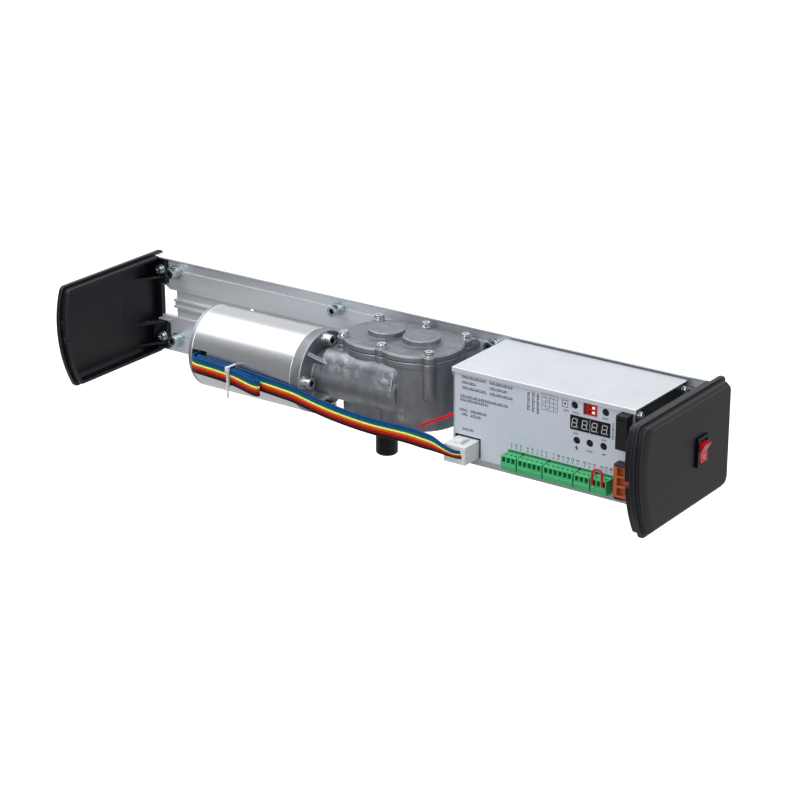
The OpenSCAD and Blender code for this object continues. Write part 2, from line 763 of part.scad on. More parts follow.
module output_spindle() {
    pip_h = 1.5;
    color("dimgray") translate([0, -spindle_d, 0]) rotate_extrude() polygon([
        [0, spindle_end_z - pip_h], [1.6, spindle_end_z - pip_h], [2, spindle_end_z - pip_h + 0.4],
        [2, spindle_end_z], [spindle_r - 1.2, spindle_end_z], [spindle_r, spindle_end_z + 1.2],
        [spindle_r, spindle_boss_low_z - gap], [journal_r, spindle_boss_low_z - gap], [journal_r, shoulder_z],
        [top_journal_r, shoulder_z], [top_journal_r, journal_top_z], [0, journal_top_z]]);
}

// Gearbox
function standoff_x() = [span_x[0] - standoff_dx, span_x[1] + standoff_dx];
// The housing follows the two shafts, with a waist between them
module two_rounds(r) {
    for (x = span_x) translate([x, -cover_mid_d]) circle(r);
}
module at_lugs() {
    for (i = [0:2], side = [-1, 1]) translate([lug_x[i], side * lug_reach[i] - lug_depth, 0]) children();
}
// The flange, its gasket and the cover share this outline
module cover_outline(r) {
    two_rounds(r);
    at_lugs() circle(lug_r, $fn = 48);
}
module slab(low_z, height) {
    translate([0, 0, low_z]) linear_extrude(height) children();
}
module rounded_rod(low_x, end_x, d, z, r, max_edge) {
    edge = min(max_edge, r / 2);
    translate([low_x, -d, z]) rotate([0, 90, 0]) rotate_extrude() {
        square([r, end_x - low_x - edge]);
        square([r - edge, end_x - low_x]);
        translate([r - edge, end_x - low_x - edge]) circle(edge, $fn = 48);
    }
}
module worm_tunnel() {
    shoulder_r = tunnel_r / 2;
    shoulder_low_x = flange_x + flange_len + socket_head_h + washer_t + spring_washer_t + gap;
    shoulder_d = motor_d + tunnel_r / 3;
    shoulder_mid_z = housing_top_z - housing_flange_t - shoulder_r;
    rounded_rod(flange_x + past, tunnel_end_x, motor_d, motor_z, tunnel_r, tunnel_edge_r);
    rounded_rod(shoulder_low_x, tunnel_end_x, shoulder_d, shoulder_mid_z, shoulder_r, tunnel_edge_r);
    along_x(shoulder_low_x, tunnel_end_x - shoulder_low_x - tunnel_edge_r * 0.4) polygon([
        [-motor_d - tunnel_r + 0.6, motor_z + 4], [-shoulder_d - shoulder_r + 0.3, shoulder_mid_z + 1.6],
        [-shoulder_d, shoulder_mid_z + shoulder_r], [-cover_mid_d, shoulder_mid_z + shoulder_r],
        [-cover_mid_d, motor_z], [-motor_d, motor_z]]);
}
module flange_webs() {
    for (turn = [45:90:315]) translate([flange_x + flange_len - past, -motor_d, motor_z]) rotate([turn, 0, 0])
        translate([0, web_t / 2, 0]) rotate([90, 0, 0]) linear_extrude(web_t)
            polygon([[0, tunnel_r - 6], [0, can_r - 2.4], [past, can_r - 2.4], [16, tunnel_r], [16, tunnel_r - 6]]);
}
module housing_outside() {
    slab(body_low_z, housing_top_z - body_low_z) two_rounds(body_r);
    slab(housing_top_z - housing_flange_t, housing_flange_t) cover_outline(cover_r);
    worm_tunnel();
    rod_x(flange_x, flange_len, can_r);
    flange_webs();
    rod_z(0, spindle_d, spindle_boss_low_z, body_low_z + past, spindle_boss_r);
    pillar_bottom_z = motor_z + 2;
    pillar_r = lug_r - 0.2;
    translate([lug_x[2], -lug_reach[2] - lug_depth, pillar_bottom_z]) {
        cylinder(h = housing_top_z - pillar_bottom_z - past, r = pillar_r, $fn = 48);
        sphere(pillar_r, $fn = 48);
    }
    for (x = standoff_x(), z = standoff_z) rod_front(x, z, band_t, standoff_in_d - band_t, standoff_r);
}
module gearbox_housing() {
    color("gray") difference() {
        union() {
            difference() {
                housing_outside();
                slab(floor_z, housing_top_z) two_rounds(cavity_r);
                rod_x(flange_x - past, bearing_block[0] - flange_x + past, worm_bore_r - 1.5);
                rod_x(-worm_len / 2 - 2, bearing_block[0] + worm_len / 2 + 2, worm_bore_r);
            }
            rod_z(0, spindle_d, body_low_z + past, inner_boss_top_z, spindle_boss_r);
            rod_z(idler_x, spindle_d, body_low_z + past, inner_boss_top_z, idler_bush_r + 2.5);
            translate([bearing_block[0], -cover_mid_d - cavity_r - past, motor_z - worm_bearing_r - 1.7])
                cube([bearing_block[1] - bearing_block[0],
                    cover_mid_d + cavity_r + past - motor_d + worm_bearing_r + 1.3, 2 * worm_bearing_r + 3.4]);
        }
        rod_x(worm_bearing_x[1], worm_bearing_w, worm_bearing_r);
        rod_x(worm_bearing_x[1] - 5, worm_bearing_w + 7, shaft_r + 2);
        rod_x(bearing_block[0] - past, past + worm_bearing_x[1] - bearing_block[0] + past, worm_bearing_r);
        rod_x(flange_x - past, worm_bearing_x[0] + worm_bearing_w - flange_x + past, worm_bearing_r);
        rod_z(0, spindle_d, spindle_boss_low_z - past, inner_boss_top_z + past, spindle_bush_r);
        rod_z(idler_x, spindle_d, inner_boss_top_z - 5, inner_boss_top_z + past, idler_bush_r);
        flange_bolts() rod_x(flange_x - past, flange_len + 2 * past, flange_screw_r);
        at_lugs() translate([0, 0, housing_top_z - 10]) cylinder(h = 10 + past, r = cover_screw_r);
        for (x = standoff_x(), z = standoff_z)
            rod_front(x, z, band_t - past, mount_screw_len, mount_screw_r);
    }
}
module gearbox_gasket() {
    color("black") slab(housing_top_z, gasket_t) difference() {
        cover_outline(cover_r);
        two_rounds(cavity_r);
        at_lugs() circle(cover_screw_r + 0.1);
    }
}
module gearbox_cover() {
    boss_edge = 0.8;
    color("gray") difference() {
        union() {
            slab(cover_low_z, cover_t - boss_edge) cover_outline(cover_r);
            slab(cover_top_z - boss_edge - 0.01, boss_edge + 0.01) cover_outline(cover_r - boss_edge);
            for (x = [0, idler_x]) translate([x, -spindle_d, cover_top_z - past]) rotate_extrude() {
                square([boss_r, boss_h + past - boss_edge]);
                square([boss_r - boss_edge, boss_h + past]);
                translate([boss_r - boss_edge, boss_h + past - boss_edge]) circle(boss_edge, $fn = 32);
            }
        }
        for (x = [0, idler_x]) rod_z(x, spindle_d, cover_low_z - past, cover_bore_top_z, cover_bush_r);
        at_lugs() translate([0, 0, cover_low_z - past])
            cylinder(h = cover_t + 2 * past, r = cover_screw_r + 0.1);
    }
}
module cover_screws() {
    color("silver") at_lugs() translate([0, 0, cover_top_z])
        pan_screw(cover_screw_r, cover_top_z - housing_top_z + 9);
}
module flange_screws() {
    color("silver") flange_bolts() translate([flange_x + flange_len, -motor_d, motor_z]) rotate([0, 90, 0])
        socket_screw(flange_screw_r, flange_len + front_plate_t - 1);
}
module gearbox_mount_screws() {
    color("silver") for (x = standoff_x(), z = standoff_z) {
        translate([x, 0, z]) rotate([90, 0, 0])
            cylinder(h = mount_head_r - mount_screw_r, r1 = mount_head_r, r2 = mount_screw_r);
        rod_front(x, z, mount_head_r - mount_screw_r - 0.01, mount_screw_len, mount_screw_r);
    }
}
module worm_bearings() {
    color("lightgray") for (x = worm_bearing_x) bearing(x, worm_bearing_w, worm_bearing_r, shaft_r);
}
module bush(x, low_z, top_z, r_out, r_in) {
    difference() {
        rod_z(x, spindle_d, low_z, top_z, r_out);
        rod_z(x, spindle_d, low_z - past, top_z + past, r_in + running);
    }
}
module gear_bushes() {
    color("tan") {
        bush(0, spindle_boss_low_z + seal_h, inner_boss_top_z, spindle_bush_r, journal_r);
        bush(idler_x, inner_boss_top_z - 5, inner_boss_top_z, idler_bush_r, idler_r);
        bush(0, cover_low_z, cover_bore_top_z, cover_bush_r, top_journal_r);
        bush(idler_x, cover_low_z, cover_bore_top_z, cover_bush_r, idler_r);
    }
}
module spindle_seal() {
    color("black") bush(0, spindle_boss_low_z + 0.4, spindle_boss_low_z + seal_h, spindle_bush_r, journal_r);
}

// Controller box
function spacer_x() = [box_x + spacer_inset, box_end - spacer_inset];
function spacer_z() = [groove_low_z + 6, groove_high_z - 8];
module at_side_screws() {
    for (d = side_screw_d) {
        translate([box_x, -d, side_screw_z]) rotate([0, -90, 0]) children();
        translate([box_end, -d, side_screw_z]) rotate([0, 90, 0]) children();
    }
}
module controller_chassis() {
    depth = box_front - box_back;
    side_h = box_top_z - sheet - sheet_gap - box_low_z;
    color("silver") difference() {
        union() {
            translate([box_x, -box_front, box_low_z]) cube([box_w, depth, sheet]);
            translate([box_x, -box_back - sheet, box_low_z]) cube([box_w, sheet, side_h]);
            for (x = [box_x, box_end - sheet]) translate([x, -box_front, box_low_z])
                cube([sheet, depth, side_h]);
            translate([box_x, -box_front, box_low_z])
                cube([box_w, sheet, panel_low_z - box_low_z - sheet_gap]);
            for (x = spacer_x(), d = [box_front - 12, box_back + 14])
                rod_z(x, d, box_low_z + sheet / 2, board_z, 3);
        }
        at_side_screws() translate([0, 0, -past - sheet]) cylinder(h = sheet + 2 * past, r = side_screw_r);
        for (x = spacer_x(), z = spacer_z())
            rod_front(x, z, box_back - past, sheet + 2 * past, mount_screw_r);
        translate([box_x - past, lead_route[0][1], lead_route[0][2]]) rotate([0, 90, 0])
            cylinder(h = sheet + 2 * past, r = lead_r + 1);
    }
}
module controller_lid() {
    flap_front = box_front - sheet - 2;
    flap_back = box_back + sheet + 0.5;
    color("lightsteelblue") difference() {
        union() {
            translate([box_x - lid_over, -box_front - sheet, box_top_z - sheet])
                cube([box_w + 2 * lid_over, box_front + sheet - box_back, sheet]);
            translate([box_x - lid_over, -box_front - sheet, box_top_z - hem_h])
                cube([box_w + 2 * lid_over, sheet, hem_h]);
            for (x = [box_x + sheet + sheet_gap, box_end - 2 * sheet - sheet_gap])
                translate([x, -flap_front, box_top_z - flap_h]) cube([sheet, flap_front - flap_back, flap_h]);
        }
        at_side_screws() translate([0, 0, -10]) cylinder(h = 10, r = side_screw_r);
    }
}
module lid_screws() {
    color("silver") at_side_screws() pan_screw(side_screw_r, 2 * sheet + 2);
}
module front_panel() {
    color("lightsteelblue") difference() {
        translate([box_x + sheet + sheet_gap, -box_front, panel_low_z])
            cube([box_w - 2 * (sheet + sheet_gap), sheet, box_top_z - sheet - sheet_gap - panel_low_z]);
        panel_cut(socket_low[0], socket_low[1], socket_size[0], socket_size[1]);
        panel_cut(display_x, display_low_z, display_w, display_h);
        panel_cut(dip_x, dip_low_z, dip_w, dip_h);
        panel_cut(fuse_body()[0], fuse_body()[1], fuse_body()[2], fuse_body()[3]);
        panel_cut(plug_low_x(0), plug_low_z, mains_x - plug_low_x(0), header_top_z - plug_low_z);
        panel_cut(mains_x, mains_low_z, mains_w, mains_h);
        for (c = button_centres)
            rod_front(c[0], c[1], panel_back - past, sheet + 2 * past, button_r + button_gap);
    }
}
module panel_cut(low_x, low_z, w, h) {
    front_box(low_x - sheet_gap, low_z - sheet_gap, w + 2 * sheet_gap, h + 2 * sheet_gap,
        panel_back - past, sheet + 2 * past);
}
module controller_spacers() {
    color("silver") for (x = spacer_x(), z = spacer_z()) {
        difference() {
            rod_front(x, z, band_t, box_back - band_t, spacer_r);
            rod_front(x, z, band_t - past, box_back - band_t + 2 * past, mount_screw_r);
        }
        translate([x, -box_back - sheet, z]) rotate([90, 0, 0])
            pan_screw(mount_screw_r, box_back + sheet - 0.5);
    }
}
module power_board() {
    front = panel_back - 1.5;
    color("green") translate([box_x + sheet + 2, -front, board_z])
        cube([box_w - 2 * sheet - 4, front - box_back - 7, board_t]);
}
module board_parts() {
    top = board_z + board_t;
    color("dimgray") {
        translate([box_x + 30, -50, top]) cube(transformer);
        translate([box_x + 80, -45, top]) cube(line_filter);
        for (i = [0:2]) rod_z(box_x + 76 + i * 14, 56, top, top + capacitor_h, capacitor_r);
        for (i = [0:1]) translate([box_x + 8, -31 - i * 18, top]) cube(relay);
        // Header that the motor plug enters
        translate([socket_low[0], -panel_back + 0.3, top]) cube([socket_size[0], 16, socket_size[1] - 2]);
        for (c = button_centres)
            front_box(c[0] - switch_side / 2, c[1] - switch_side / 2, switch_side, switch_side,
                display_board_d, switch_h);
    }
}
module display_board() {
    low_x = display_x - display_edge;
    w = display_w + 2 * display_edge;
    post_len = panel_back - display_board_d + 0.1;
    color("green") {
        front_box(low_x, display_board_z, w, display_board_h, display_board_d - board_t, board_t);
        for (x = [post_edge, w - post_edge], z = display_post_z)
            rod_front(low_x + x, display_board_z + z, display_board_d - 0.1, post_len, post_r);
    }
}
module digit_display() {
    half = display_w / 2 - 0.2;
    color("black") for (x = [display_x, display_x + display_w - half])
        front_box(x, display_low_z, half, display_h, display_board_d, box_front + 0.4 - display_board_d);
}
module button(i) {
    back = display_board_d + switch_h + button_gap_back;
    c = button_centres[i];
    color("black") {
        rod_front(c[0], c[1], back, box_front - 0.3 - back, button_r);
        rod_front(c[0], c[1], back, 0.8, button_r + 0.8);
    }
}
module button_learn() button(0);
module button_test() button(1);
module button_plus() button(2);
module button_set() button(3);
module button_minus() button(4);
module dip_switch_body() {
    face = box_front + 0.4;
    color("crimson") difference() {
        front_box(dip_x, dip_low_z, dip_w, dip_h, display_board_d, face - display_board_d);
        for (z = dip_rows)
            front_box(dip_slot_x, z - dip_slot[1] / 2, dip_slot[0], dip_slot[1], face - 1.4, 1.4 + past);
    }
}
module dip_slider(row) {
    low_x = dip_slot_x + dip_slot[0] - dip_slider_w - gap;
    low_z = dip_rows[row] - dip_slot[1] / 2 + gap / 2;
    color("white") front_box(low_x, low_z, dip_slider_w, dip_slot[1] - gap, box_front - 0.95, 1.8);
}
module dip_slider_lower() dip_slider(0);
module dip_slider_upper() dip_slider(1);
// The holder's body stays clear of the lid's flap, and its cavity takes the carrier's drawer
function fuse_body() = [fuse_x + 0.6, fuse_low_z + 2, fuse_w - 1.2, fuse_h - 9];
module fuse_inset(wall, depth, length) {
    b = fuse_body();
    front_box(b[0] + wall, b[1] + wall, b[2] - 2 * wall, b[3] - 2 * wall, depth, length);
}
module fuse_holder() {
    color("black") difference() {
        union() {
            front_box(fuse_x, fuse_low_z, fuse_w, fuse_h, box_front, fuse_collar);
            fuse_inset(0, box_front - fuse_depth, fuse_depth + fuse_collar / 2);
        }
        fuse_inset(fuse_wall, box_front - fuse_depth + fuse_wall, fuse_depth + fuse_collar);
    }
}
module fuse_carrier() {
    collar_d = box_front + fuse_collar + gap;
    color("black") {
        difference() {
            front_box(fuse_x, fuse_low_z, fuse_w, fuse_h, collar_d, fuse_proud - fuse_collar - gap);
            front_box(fuse_x + 2, fuse_low_z + fuse_h - 4, fuse_w - 4, 1.4,
                box_front + fuse_proud - 1, 1 + past);
        }
        difference() {
            fuse_inset(fuse_wall + gap, box_front - fuse_depth + 2 * fuse_wall, fuse_depth);
            front_box(fuse_x, fuse_mid_z() - fuse_glass_r - 0.1, fuse_w, 2 * fuse_glass_r + 0.2,
                fuse_back_d() - 0.1, fuse_len + 0.2);
        }
    }
}
function fuse_back_d() = box_front - fuse_depth + 3.4;
function fuse_mid_z() = fuse_body()[1] + fuse_body()[3] / 2;
module fuse() {
    cap_len = 5;
    mid_x = fuse_x + fuse_w / 2;
    color("silver") {
        rod_front(mid_x, fuse_mid_z(), fuse_back_d(), fuse_len, fuse_glass_r - 0.15);
        for (d = [fuse_back_d(), fuse_back_d() + fuse_len - cap_len])
            rod_front(mid_x, fuse_mid_z(), d, cap_len, fuse_glass_r);
    }
}

// Terminals. A plug's first pole follows the poles and gaps of the plugs before it.
function poles_before(i) = i == 0 ? 0 : plug_poles[i - 1] + poles_before(i - 1);
function plug_x(i) = plug_first_x + poles_before(i) * pole_pitch + i * plug_gap;
function plug_low_x(i) = plug_x(i) - pole_pitch / 2 - plug_side;
function plug_w(i) = plug_poles[i] * pole_pitch + 2 * plug_side;
module terminal_headers() {
    color("darkgreen") for (i = [0:4])
        front_box(plug_low_x(i), header_low_z, plug_w(i), header_top_z - header_low_z,
            panel_back - header_reach, header_reach + 1 + sheet);
}
module terminal_plugs() {
    back = box_front + 1.2;
    face = box_front + plug_proud;
    color("limegreen") for (i = [0:4]) difference() {
        along_x(plug_low_x(i), plug_w(i)) polygon([
            [-back, plug_low_z], [-face + plug_lean, plug_low_z], [-face, plug_ledge_z - 0.4],
            [-face + 0.3, plug_ledge_z], [-face + 0.3, plug_low_z + plug_h], [-back, plug_low_z + plug_h]]);
        for (k = [0:plug_poles[i] - 1]) {
            x = plug_x(i) + k * pole_pitch;
            front_box(x - wire_hole[0] / 2, plug_ledge_z + 1.4, wire_hole[0], wire_hole[1],
                face - wire_hole_depth, wire_hole_depth + past);
            translate([x, -face + 4.5, plug_low_z + plug_h - 2]) cylinder(h = 2 + past, r = 1.3, $fn = 24);
        }
    }
}
module terminal_jumper() {
    wire_r = 0.8;
    face = box_front + plug_proud;
    hole_z = plug_ledge_z + 1.4 + wire_hole[1] / 2;
    rise = 7.4;
    x = plug_x(4);
    color("firebrick") {
        for (k = [0, 2]) {
            rod_front(x + k * pole_pitch, hole_z, face - 4, 5.6, wire_r);
            translate([x + k * pole_pitch, -face - 1.6, hole_z]) sphere(wire_r, $fn = 24);
            translate([x + k * pole_pitch, -face - 1.6, hole_z]) cylinder(h = rise, r = wire_r, $fn = 24);
        }
        translate([x + pole_pitch, -face - 1.6, hole_z + rise]) rotate([90, 0, 0])
            rotate_extrude(angle = 180) translate([pole_pitch, 0]) circle(wire_r, $fn = 24);
    }
}
module mains_terminal() {
    rail = 1.2;
    end_t = 1.2;
    nose = 1.2;
    nose_r = mains_w * 0.8;
    window_h = (mains_h - rail) / 3 - rail;
    color("chocolate") {
        difference() {
            front_box(mains_x, mains_low_z, mains_w, mains_h, panel_back - 12, 12 + sheet + mains_proud);
            for (i = [0:2])
                front_box(mains_x + 3, mains_low_z + rail + i * (window_h + rail), mains_w, window_h,
                    box_front + mains_proud - 5, 5 + past);
            front_box(mains_x - past, mains_low_z + 2 * rail, past + 0.5, mains_h - 4 * rail,
                box_front + mains_proud - 2.8, 1.2);
        }
        // Round-nosed plates at both ends
        for (z = [mains_low_z - end_t, mains_low_z + mains_h]) intersection() {
            front_box(mains_x, z, mains_w, end_t, box_front + 0.1, mains_proud + nose);
            rod_z(mains_x + mains_w / 2, box_front + mains_proud + nose - nose_r, z, z + end_t, nose_r);
        }
    }
}

// Motor plug, its ribbon, the tie round the folded ribbon and the single red lead
module motor_plug() {
    color("ivory") {
        translate(plug_face) cube(plug_block);
        translate([plug_face[0] + 6, plug_face[1] + 4, plug_face[2] + plug_block[2] - 0.1])
            along_x(0, 6) polygon([[0, 0], [11, 0], [11, 1], [3, 2.4], [0, 2.4]]);
    }
}
function unit2(v) = v / norm(v);
function along(route, i) = let (a = route[max(i - 1, 0)], b = route[min(i + 1, len(route) - 1)])
    [b[0] - a[0], b[1] - a[1], b[2] - a[2]];
function across(route, i) = let (t = unit2([along(route, i)[0], along(route, i)[1]])) [-t[1], t[0], 0];
module sweep(rings) {
    n = len(rings[0]);
    last = len(rings) - 1;
    polyhedron([for (ring = rings) each ring], concat(
        [[for (k = [n - 1:-1:0]) k]],
        [for (i = [0:last - 1], k = [0:n - 1])
            [i * n + k, i * n + (k + 1) % n, (i + 1) * n + (k + 1) % n, (i + 1) * n + k]],
        [[for (k = [0:n - 1]) last * n + k]]));
}
module ribbon_cable() {
    color("royalblue") sweep([for (i = [0:len(ribbon_route) - 1])
        let (p = ribbon_route[i], c = [p[0], p[1], p[2]], side = across(ribbon_route, i) * ribbon_t / 2,
            up = [0, 0, p[3] / 2])
        [c - side - up, c - side + up, c + side + up, c + side - up]]);
}
module cable_tie() {
    width = 2.5;
    t = 0.8;
    inside = [[-108.1, 33.2], [-100.7, 47.2]];
    color("white") {
        along_x(tie_x - width / 2, width) difference() {
            translate([inside[0][0] - t, inside[0][1] - t])
                square([inside[1][0] - inside[0][0] + 2 * t, inside[1][1] - inside[0][1] + 2 * t]);
            translate(inside[0]) square([inside[1][0] - inside[0][0], inside[1][1] - inside[0][1]]);
        }
        translate([tie_x - 2.2, inside[0][0] - t - 1.6, inside[1][1] - 3]) cube([4.4, 2, 4]);
        translate([tie_x - 1, inside[0][0] - t - 1.2, inside[0][1] - 9]) cube([2, 1, 20]);
    }
}
module red_lead() {
    sides = 8;
    color("red") sweep([for (i = [0:len(lead_route) - 1])
        let (p = lead_route[i], t = along(lead_route, i) / norm(along(lead_route, i)), s = across(lead_route, i),
            u = cross(t, s))
        [for (k = [0:sides - 1]) p + lead_r * (cos(-k * 360 / sides) * s + sin(-k * 360 / sides) * u)]]);
}

base_profile();
base_screws();
end_cap_left();
end_cap_right();
cap_screws();
motor_can();
motor_rear_cover();
motor_front_plate();
motor_stator();
motor_windings();
motor_sensor_board();
motor_bearings();
rotor_shaft();
rotor_magnets();
worm();
gearbox_housing();
gearbox_gasket();
gearbox_cover();
cover_screws();
flange_screws();
gearbox_mount_screws();
worm_bearings();
gear_bushes();
spindle_seal();
worm_wheel();
wheel_pinion();
idler_shaft();
idler_gear();
output_gear();
output_spindle();
controller_chassis();
controller_lid();
front_panel();
lid_screws();
controller_spacers();
power_board();
board_parts();
display_board();
digit_display();
button_learn();
button_test();
button_plus();
button_set();
button_minus();
dip_switch_body();
dip_slider_upper();
dip_slider_lower();
fuse_holder();
fuse_carrier();
fuse();
terminal_headers();
terminal_plugs();
terminal_jumper();
mains_terminal();
motor_plug();
ribbon_cable();
cable_tie();
red_lead();
switch_body();
rocker_button();
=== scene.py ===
# %% [markdown]
# # Dressing a swing door operator
#
# The frame is a drive for swing doors with its cover taken off: a motor and a die-cast
# gearbox, a sheet-metal controller box, two moulded end caps, and the extruded profile
# that carries them all. The shapes are already true, so this file is about what a
# camera adds: rounded edges that catch light, finishes, printing, and cables. Blender
# counts in metres and a drive is measured in millimetres, so sizes are written in
# millimetres and multiplied by MM.

import json
import math

import bmesh
import bpy
from mathutils import Euler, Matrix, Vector


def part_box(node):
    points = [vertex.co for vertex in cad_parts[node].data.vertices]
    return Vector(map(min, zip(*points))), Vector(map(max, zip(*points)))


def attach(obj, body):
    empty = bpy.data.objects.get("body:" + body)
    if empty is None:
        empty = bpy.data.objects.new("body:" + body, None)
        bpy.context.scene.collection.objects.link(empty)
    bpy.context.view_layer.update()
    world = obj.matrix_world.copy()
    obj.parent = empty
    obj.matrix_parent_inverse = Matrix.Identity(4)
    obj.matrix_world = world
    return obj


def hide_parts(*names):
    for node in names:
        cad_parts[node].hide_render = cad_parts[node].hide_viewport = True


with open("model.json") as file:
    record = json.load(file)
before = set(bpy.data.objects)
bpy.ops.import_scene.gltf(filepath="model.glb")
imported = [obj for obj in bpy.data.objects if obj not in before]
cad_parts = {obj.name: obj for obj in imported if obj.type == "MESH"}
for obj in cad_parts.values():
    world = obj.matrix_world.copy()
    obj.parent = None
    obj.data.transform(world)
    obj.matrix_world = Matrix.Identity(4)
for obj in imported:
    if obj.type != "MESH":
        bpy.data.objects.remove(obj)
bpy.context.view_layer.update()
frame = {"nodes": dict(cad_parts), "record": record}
MM = 0.001
slot_of = {part["node"]: part["material_slot"] for part in frame["record"]["subparts"]}
bodies = frame["record"]["behaviour"]["bodies"]
body_of = {node: body for body, nodes in bodies.items() for node in nodes}

# %% [markdown]
# ## The camera
#
# The picture was taken with a long lens, from the right and a little above. A long lens
# far away keeps the lines of the profile nearly parallel. The distance, the two angles
# and the point that the lens is aimed at are written as real sizes.

# %% Camera
camera_turn = math.radians(35.235)
camera_rise = math.radians(20.89)
camera_roll = math.radians(-0.091)
camera_distance = 1785.5 * MM
focal_pixels = 2448.1
picture_pixels = 800
aim = Vector((15.08, -50, 28.43)) * MM
away = Vector((
    math.sin(camera_turn) * math.cos(camera_rise),
    -math.cos(camera_turn) * math.cos(camera_rise),
    math.sin(camera_rise),
))
bpy.ops.object.camera_add(location=aim + away * camera_distance)
camera = bpy.context.object
camera.data.lens = camera.data.sensor_width * focal_pixels / picture_pixels
camera.data.clip_start = 0.1
camera.data.clip_end = 20
look = (-away).to_track_quat("-Z", "Y")
camera.rotation_euler = (look @ Euler((0, 0, camera_roll)).to_quaternion()).to_euler()
bpy.context.scene.camera = camera
print("lens:", round(camera.data.lens, 1), "mm")

# %% [markdown]
# ## Floor and light
#
# The drive floats on pure white in the picture. The floor is a white sheet well below
# it, and it starts a hand's breadth in front: the air beyond is darker, and polished
# metal needs something dark to reflect. The metals then show the room: a big soft box
# overhead on the left draws the white band along the motor can, and the darker front
# draws the grey band under it. A fill lamp lifts the rest. It is hidden from glossy
# rays, so it leaves no mirror image on the metals.

# %% Floor
floor_z = -0.30
floor_depth = 5.0
floor_front = -0.30
bpy.ops.mesh.primitive_plane_add(size=floor_depth * 2, location=(0, 0, floor_z))
floor = bpy.context.object
floor.name = "floor"
floor.scale = (1, 0.5, 1)
floor.location.y = floor_front + floor_depth / 2
print("floor height:", floor_z, "m")


# %% Lamps
def lamp(name, place, size, power, target=(0, -0.05, 0.04)):
    """Adds a soft lamp of a width and a height, in metres and watts, that faces the target."""
    bpy.ops.object.light_add(type="AREA", location=place)
    made = bpy.context.object
    made.name = name
    made.data.shape = "RECTANGLE"
    made.data.size, made.data.size_y = size
    made.data.energy = power
    aimed = Vector(target) - Vector(place)
    made.rotation_euler = aimed.to_track_quat("-Z", "Y").to_euler()
    return made


lamp("overhead_box", (-1.22, -0.42, 1.5), (2.0, 2.0), 19, target=(-1.22, -0.42, 0))
fill_lamp = lamp("fill_lamp", (-0.6, -0.6, 2.0), (1.5, 1.5), 26)
fill_lamp.visible_glossy = False
lamp("front_lamp", (0.4, -2.3, 1.0), (1.4, 1.0), 25)
lamp("right_lamp", (2.3, -0.7, 0.7), (0.8, 0.8), 8)
print("lamps:", len(bpy.data.lights))

# %% [markdown]
# ## The room
#
# The room itself is the world shader, which is a net of nodes like any finish. One
# small function adds a node with its settings and its links, here and in every finish
# below. The brightness follows the direction that a ray takes: bright behind and above,
# dark low in front. Only rays that start at the lens see the room pure white.


# %% Add a node
def add(owner, kind, inputs=None, **settings):
    """Adds one node. An input is a value, or another node's output that is linked to it."""
    tree = owner.node_tree
    made = tree.nodes.new("ShaderNode" + kind)
    for name, value in settings.items():
        setattr(made, name, value)
    for name, value in (inputs or {}).items():
        if isinstance(value, bpy.types.NodeSocket):
            tree.links.new(value, made.inputs[name])
        else:
            made.inputs[name].default_value = value
    return made


# %% Room
dark_air = 0.30
bright_air = 0.90
world = bpy.data.worlds.new("studio")
world.use_nodes = True
air = {"To Min": dark_air, "To Max": bright_air}
ray = add(world, "SeparateXYZ", {"Vector": add(world, "TexCoord").outputs["Generated"]})
behind = add(world, "MapRange", {"Value": ray.outputs["Y"], "From Min": -0.3, "From Max": 0.4, **air})
above = add(world, "MapRange", {"Value": ray.outputs["Z"], "From Min": 0.3, "From Max": 0.75, **air})
seen = add(world, "Math", {0: behind.outputs[0], 1: above.outputs[0]}, operation="MAXIMUM")
lens_ray = add(world, "LightPath").outputs["Is Camera Ray"]
brightness = add(world, "Math", {0: seen.outputs[0], 1: lens_ray}, operation="MAXIMUM")
background = world.node_tree.nodes["Background"]
background.inputs["Color"].default_value = (1, 1, 1, 1)
world.node_tree.links.new(brightness.outputs[0], background.inputs["Strength"])
bpy.context.scene.world = world
bpy.context.scene.view_settings.view_transform = "Standard"
print("room nodes:", len(world.node_tree.nodes))

# %% [markdown]
# ## Working with materials
#
# Colours are written as the hex values that a paint program shows, and one function
# turns them to the linear values that the shader works in. Patterns read Object
# coordinates, which are metres here, so a grain of s millimetres is a noise of scale
# 1000 / s. The pattern then stays on the piece when the piece moves.


# %% Colours and finishes
def linear(hex_colour):
    """Turns an sRGB hex colour into linear red, green, blue and alpha."""
    channels = [int(hex_colour[i:i + 2], 16) / 255 for i in (1, 3, 5)]
    return tuple(c / 12.92 if c <= 0.04045 else ((c + 0.055) / 1.055) ** 2.4 for c in channels) + (1.0,)


def finish_of(name, colour, roughness, metallic=0.0, **sockets):
    """Starts a material. Its other sockets are named with _ for a space."""
    mat = bpy.data.materials.new(name)
    mat.use_nodes = True
    shader = mat.node_tree.nodes["Principled BSDF"]
    shader.inputs["Base Color"].default_value = linear(colour)
    shader.inputs["Roughness"].default_value = roughness
    shader.inputs["Metallic"].default_value = metallic
    for socket, value in sockets.items():
        shader.inputs[socket.replace("_", " ")].default_value = value
    return mat


# %% Patterns
def grain(mat, size_mm, stretch=(1, 1, 1), detail=3.0):
    """Noise whose grains are size_mm across, drawn out where stretch is below 1."""
    place = add(mat, "TexCoord").outputs["Object"]
    drawn = add(mat, "Mapping", {"Vector": place, "Scale": stretch})
    return add(mat, "TexNoise", {"Vector": drawn.outputs["Vector"], "Scale": 1000 / size_mm,
                                 "Detail": detail}).outputs["Fac"]


def drive(mat, socket, source):
    """Links a pattern to a socket of the material's shader."""
    mat.node_tree.links.new(source, mat.node_tree.nodes["Principled BSDF"].inputs[socket])


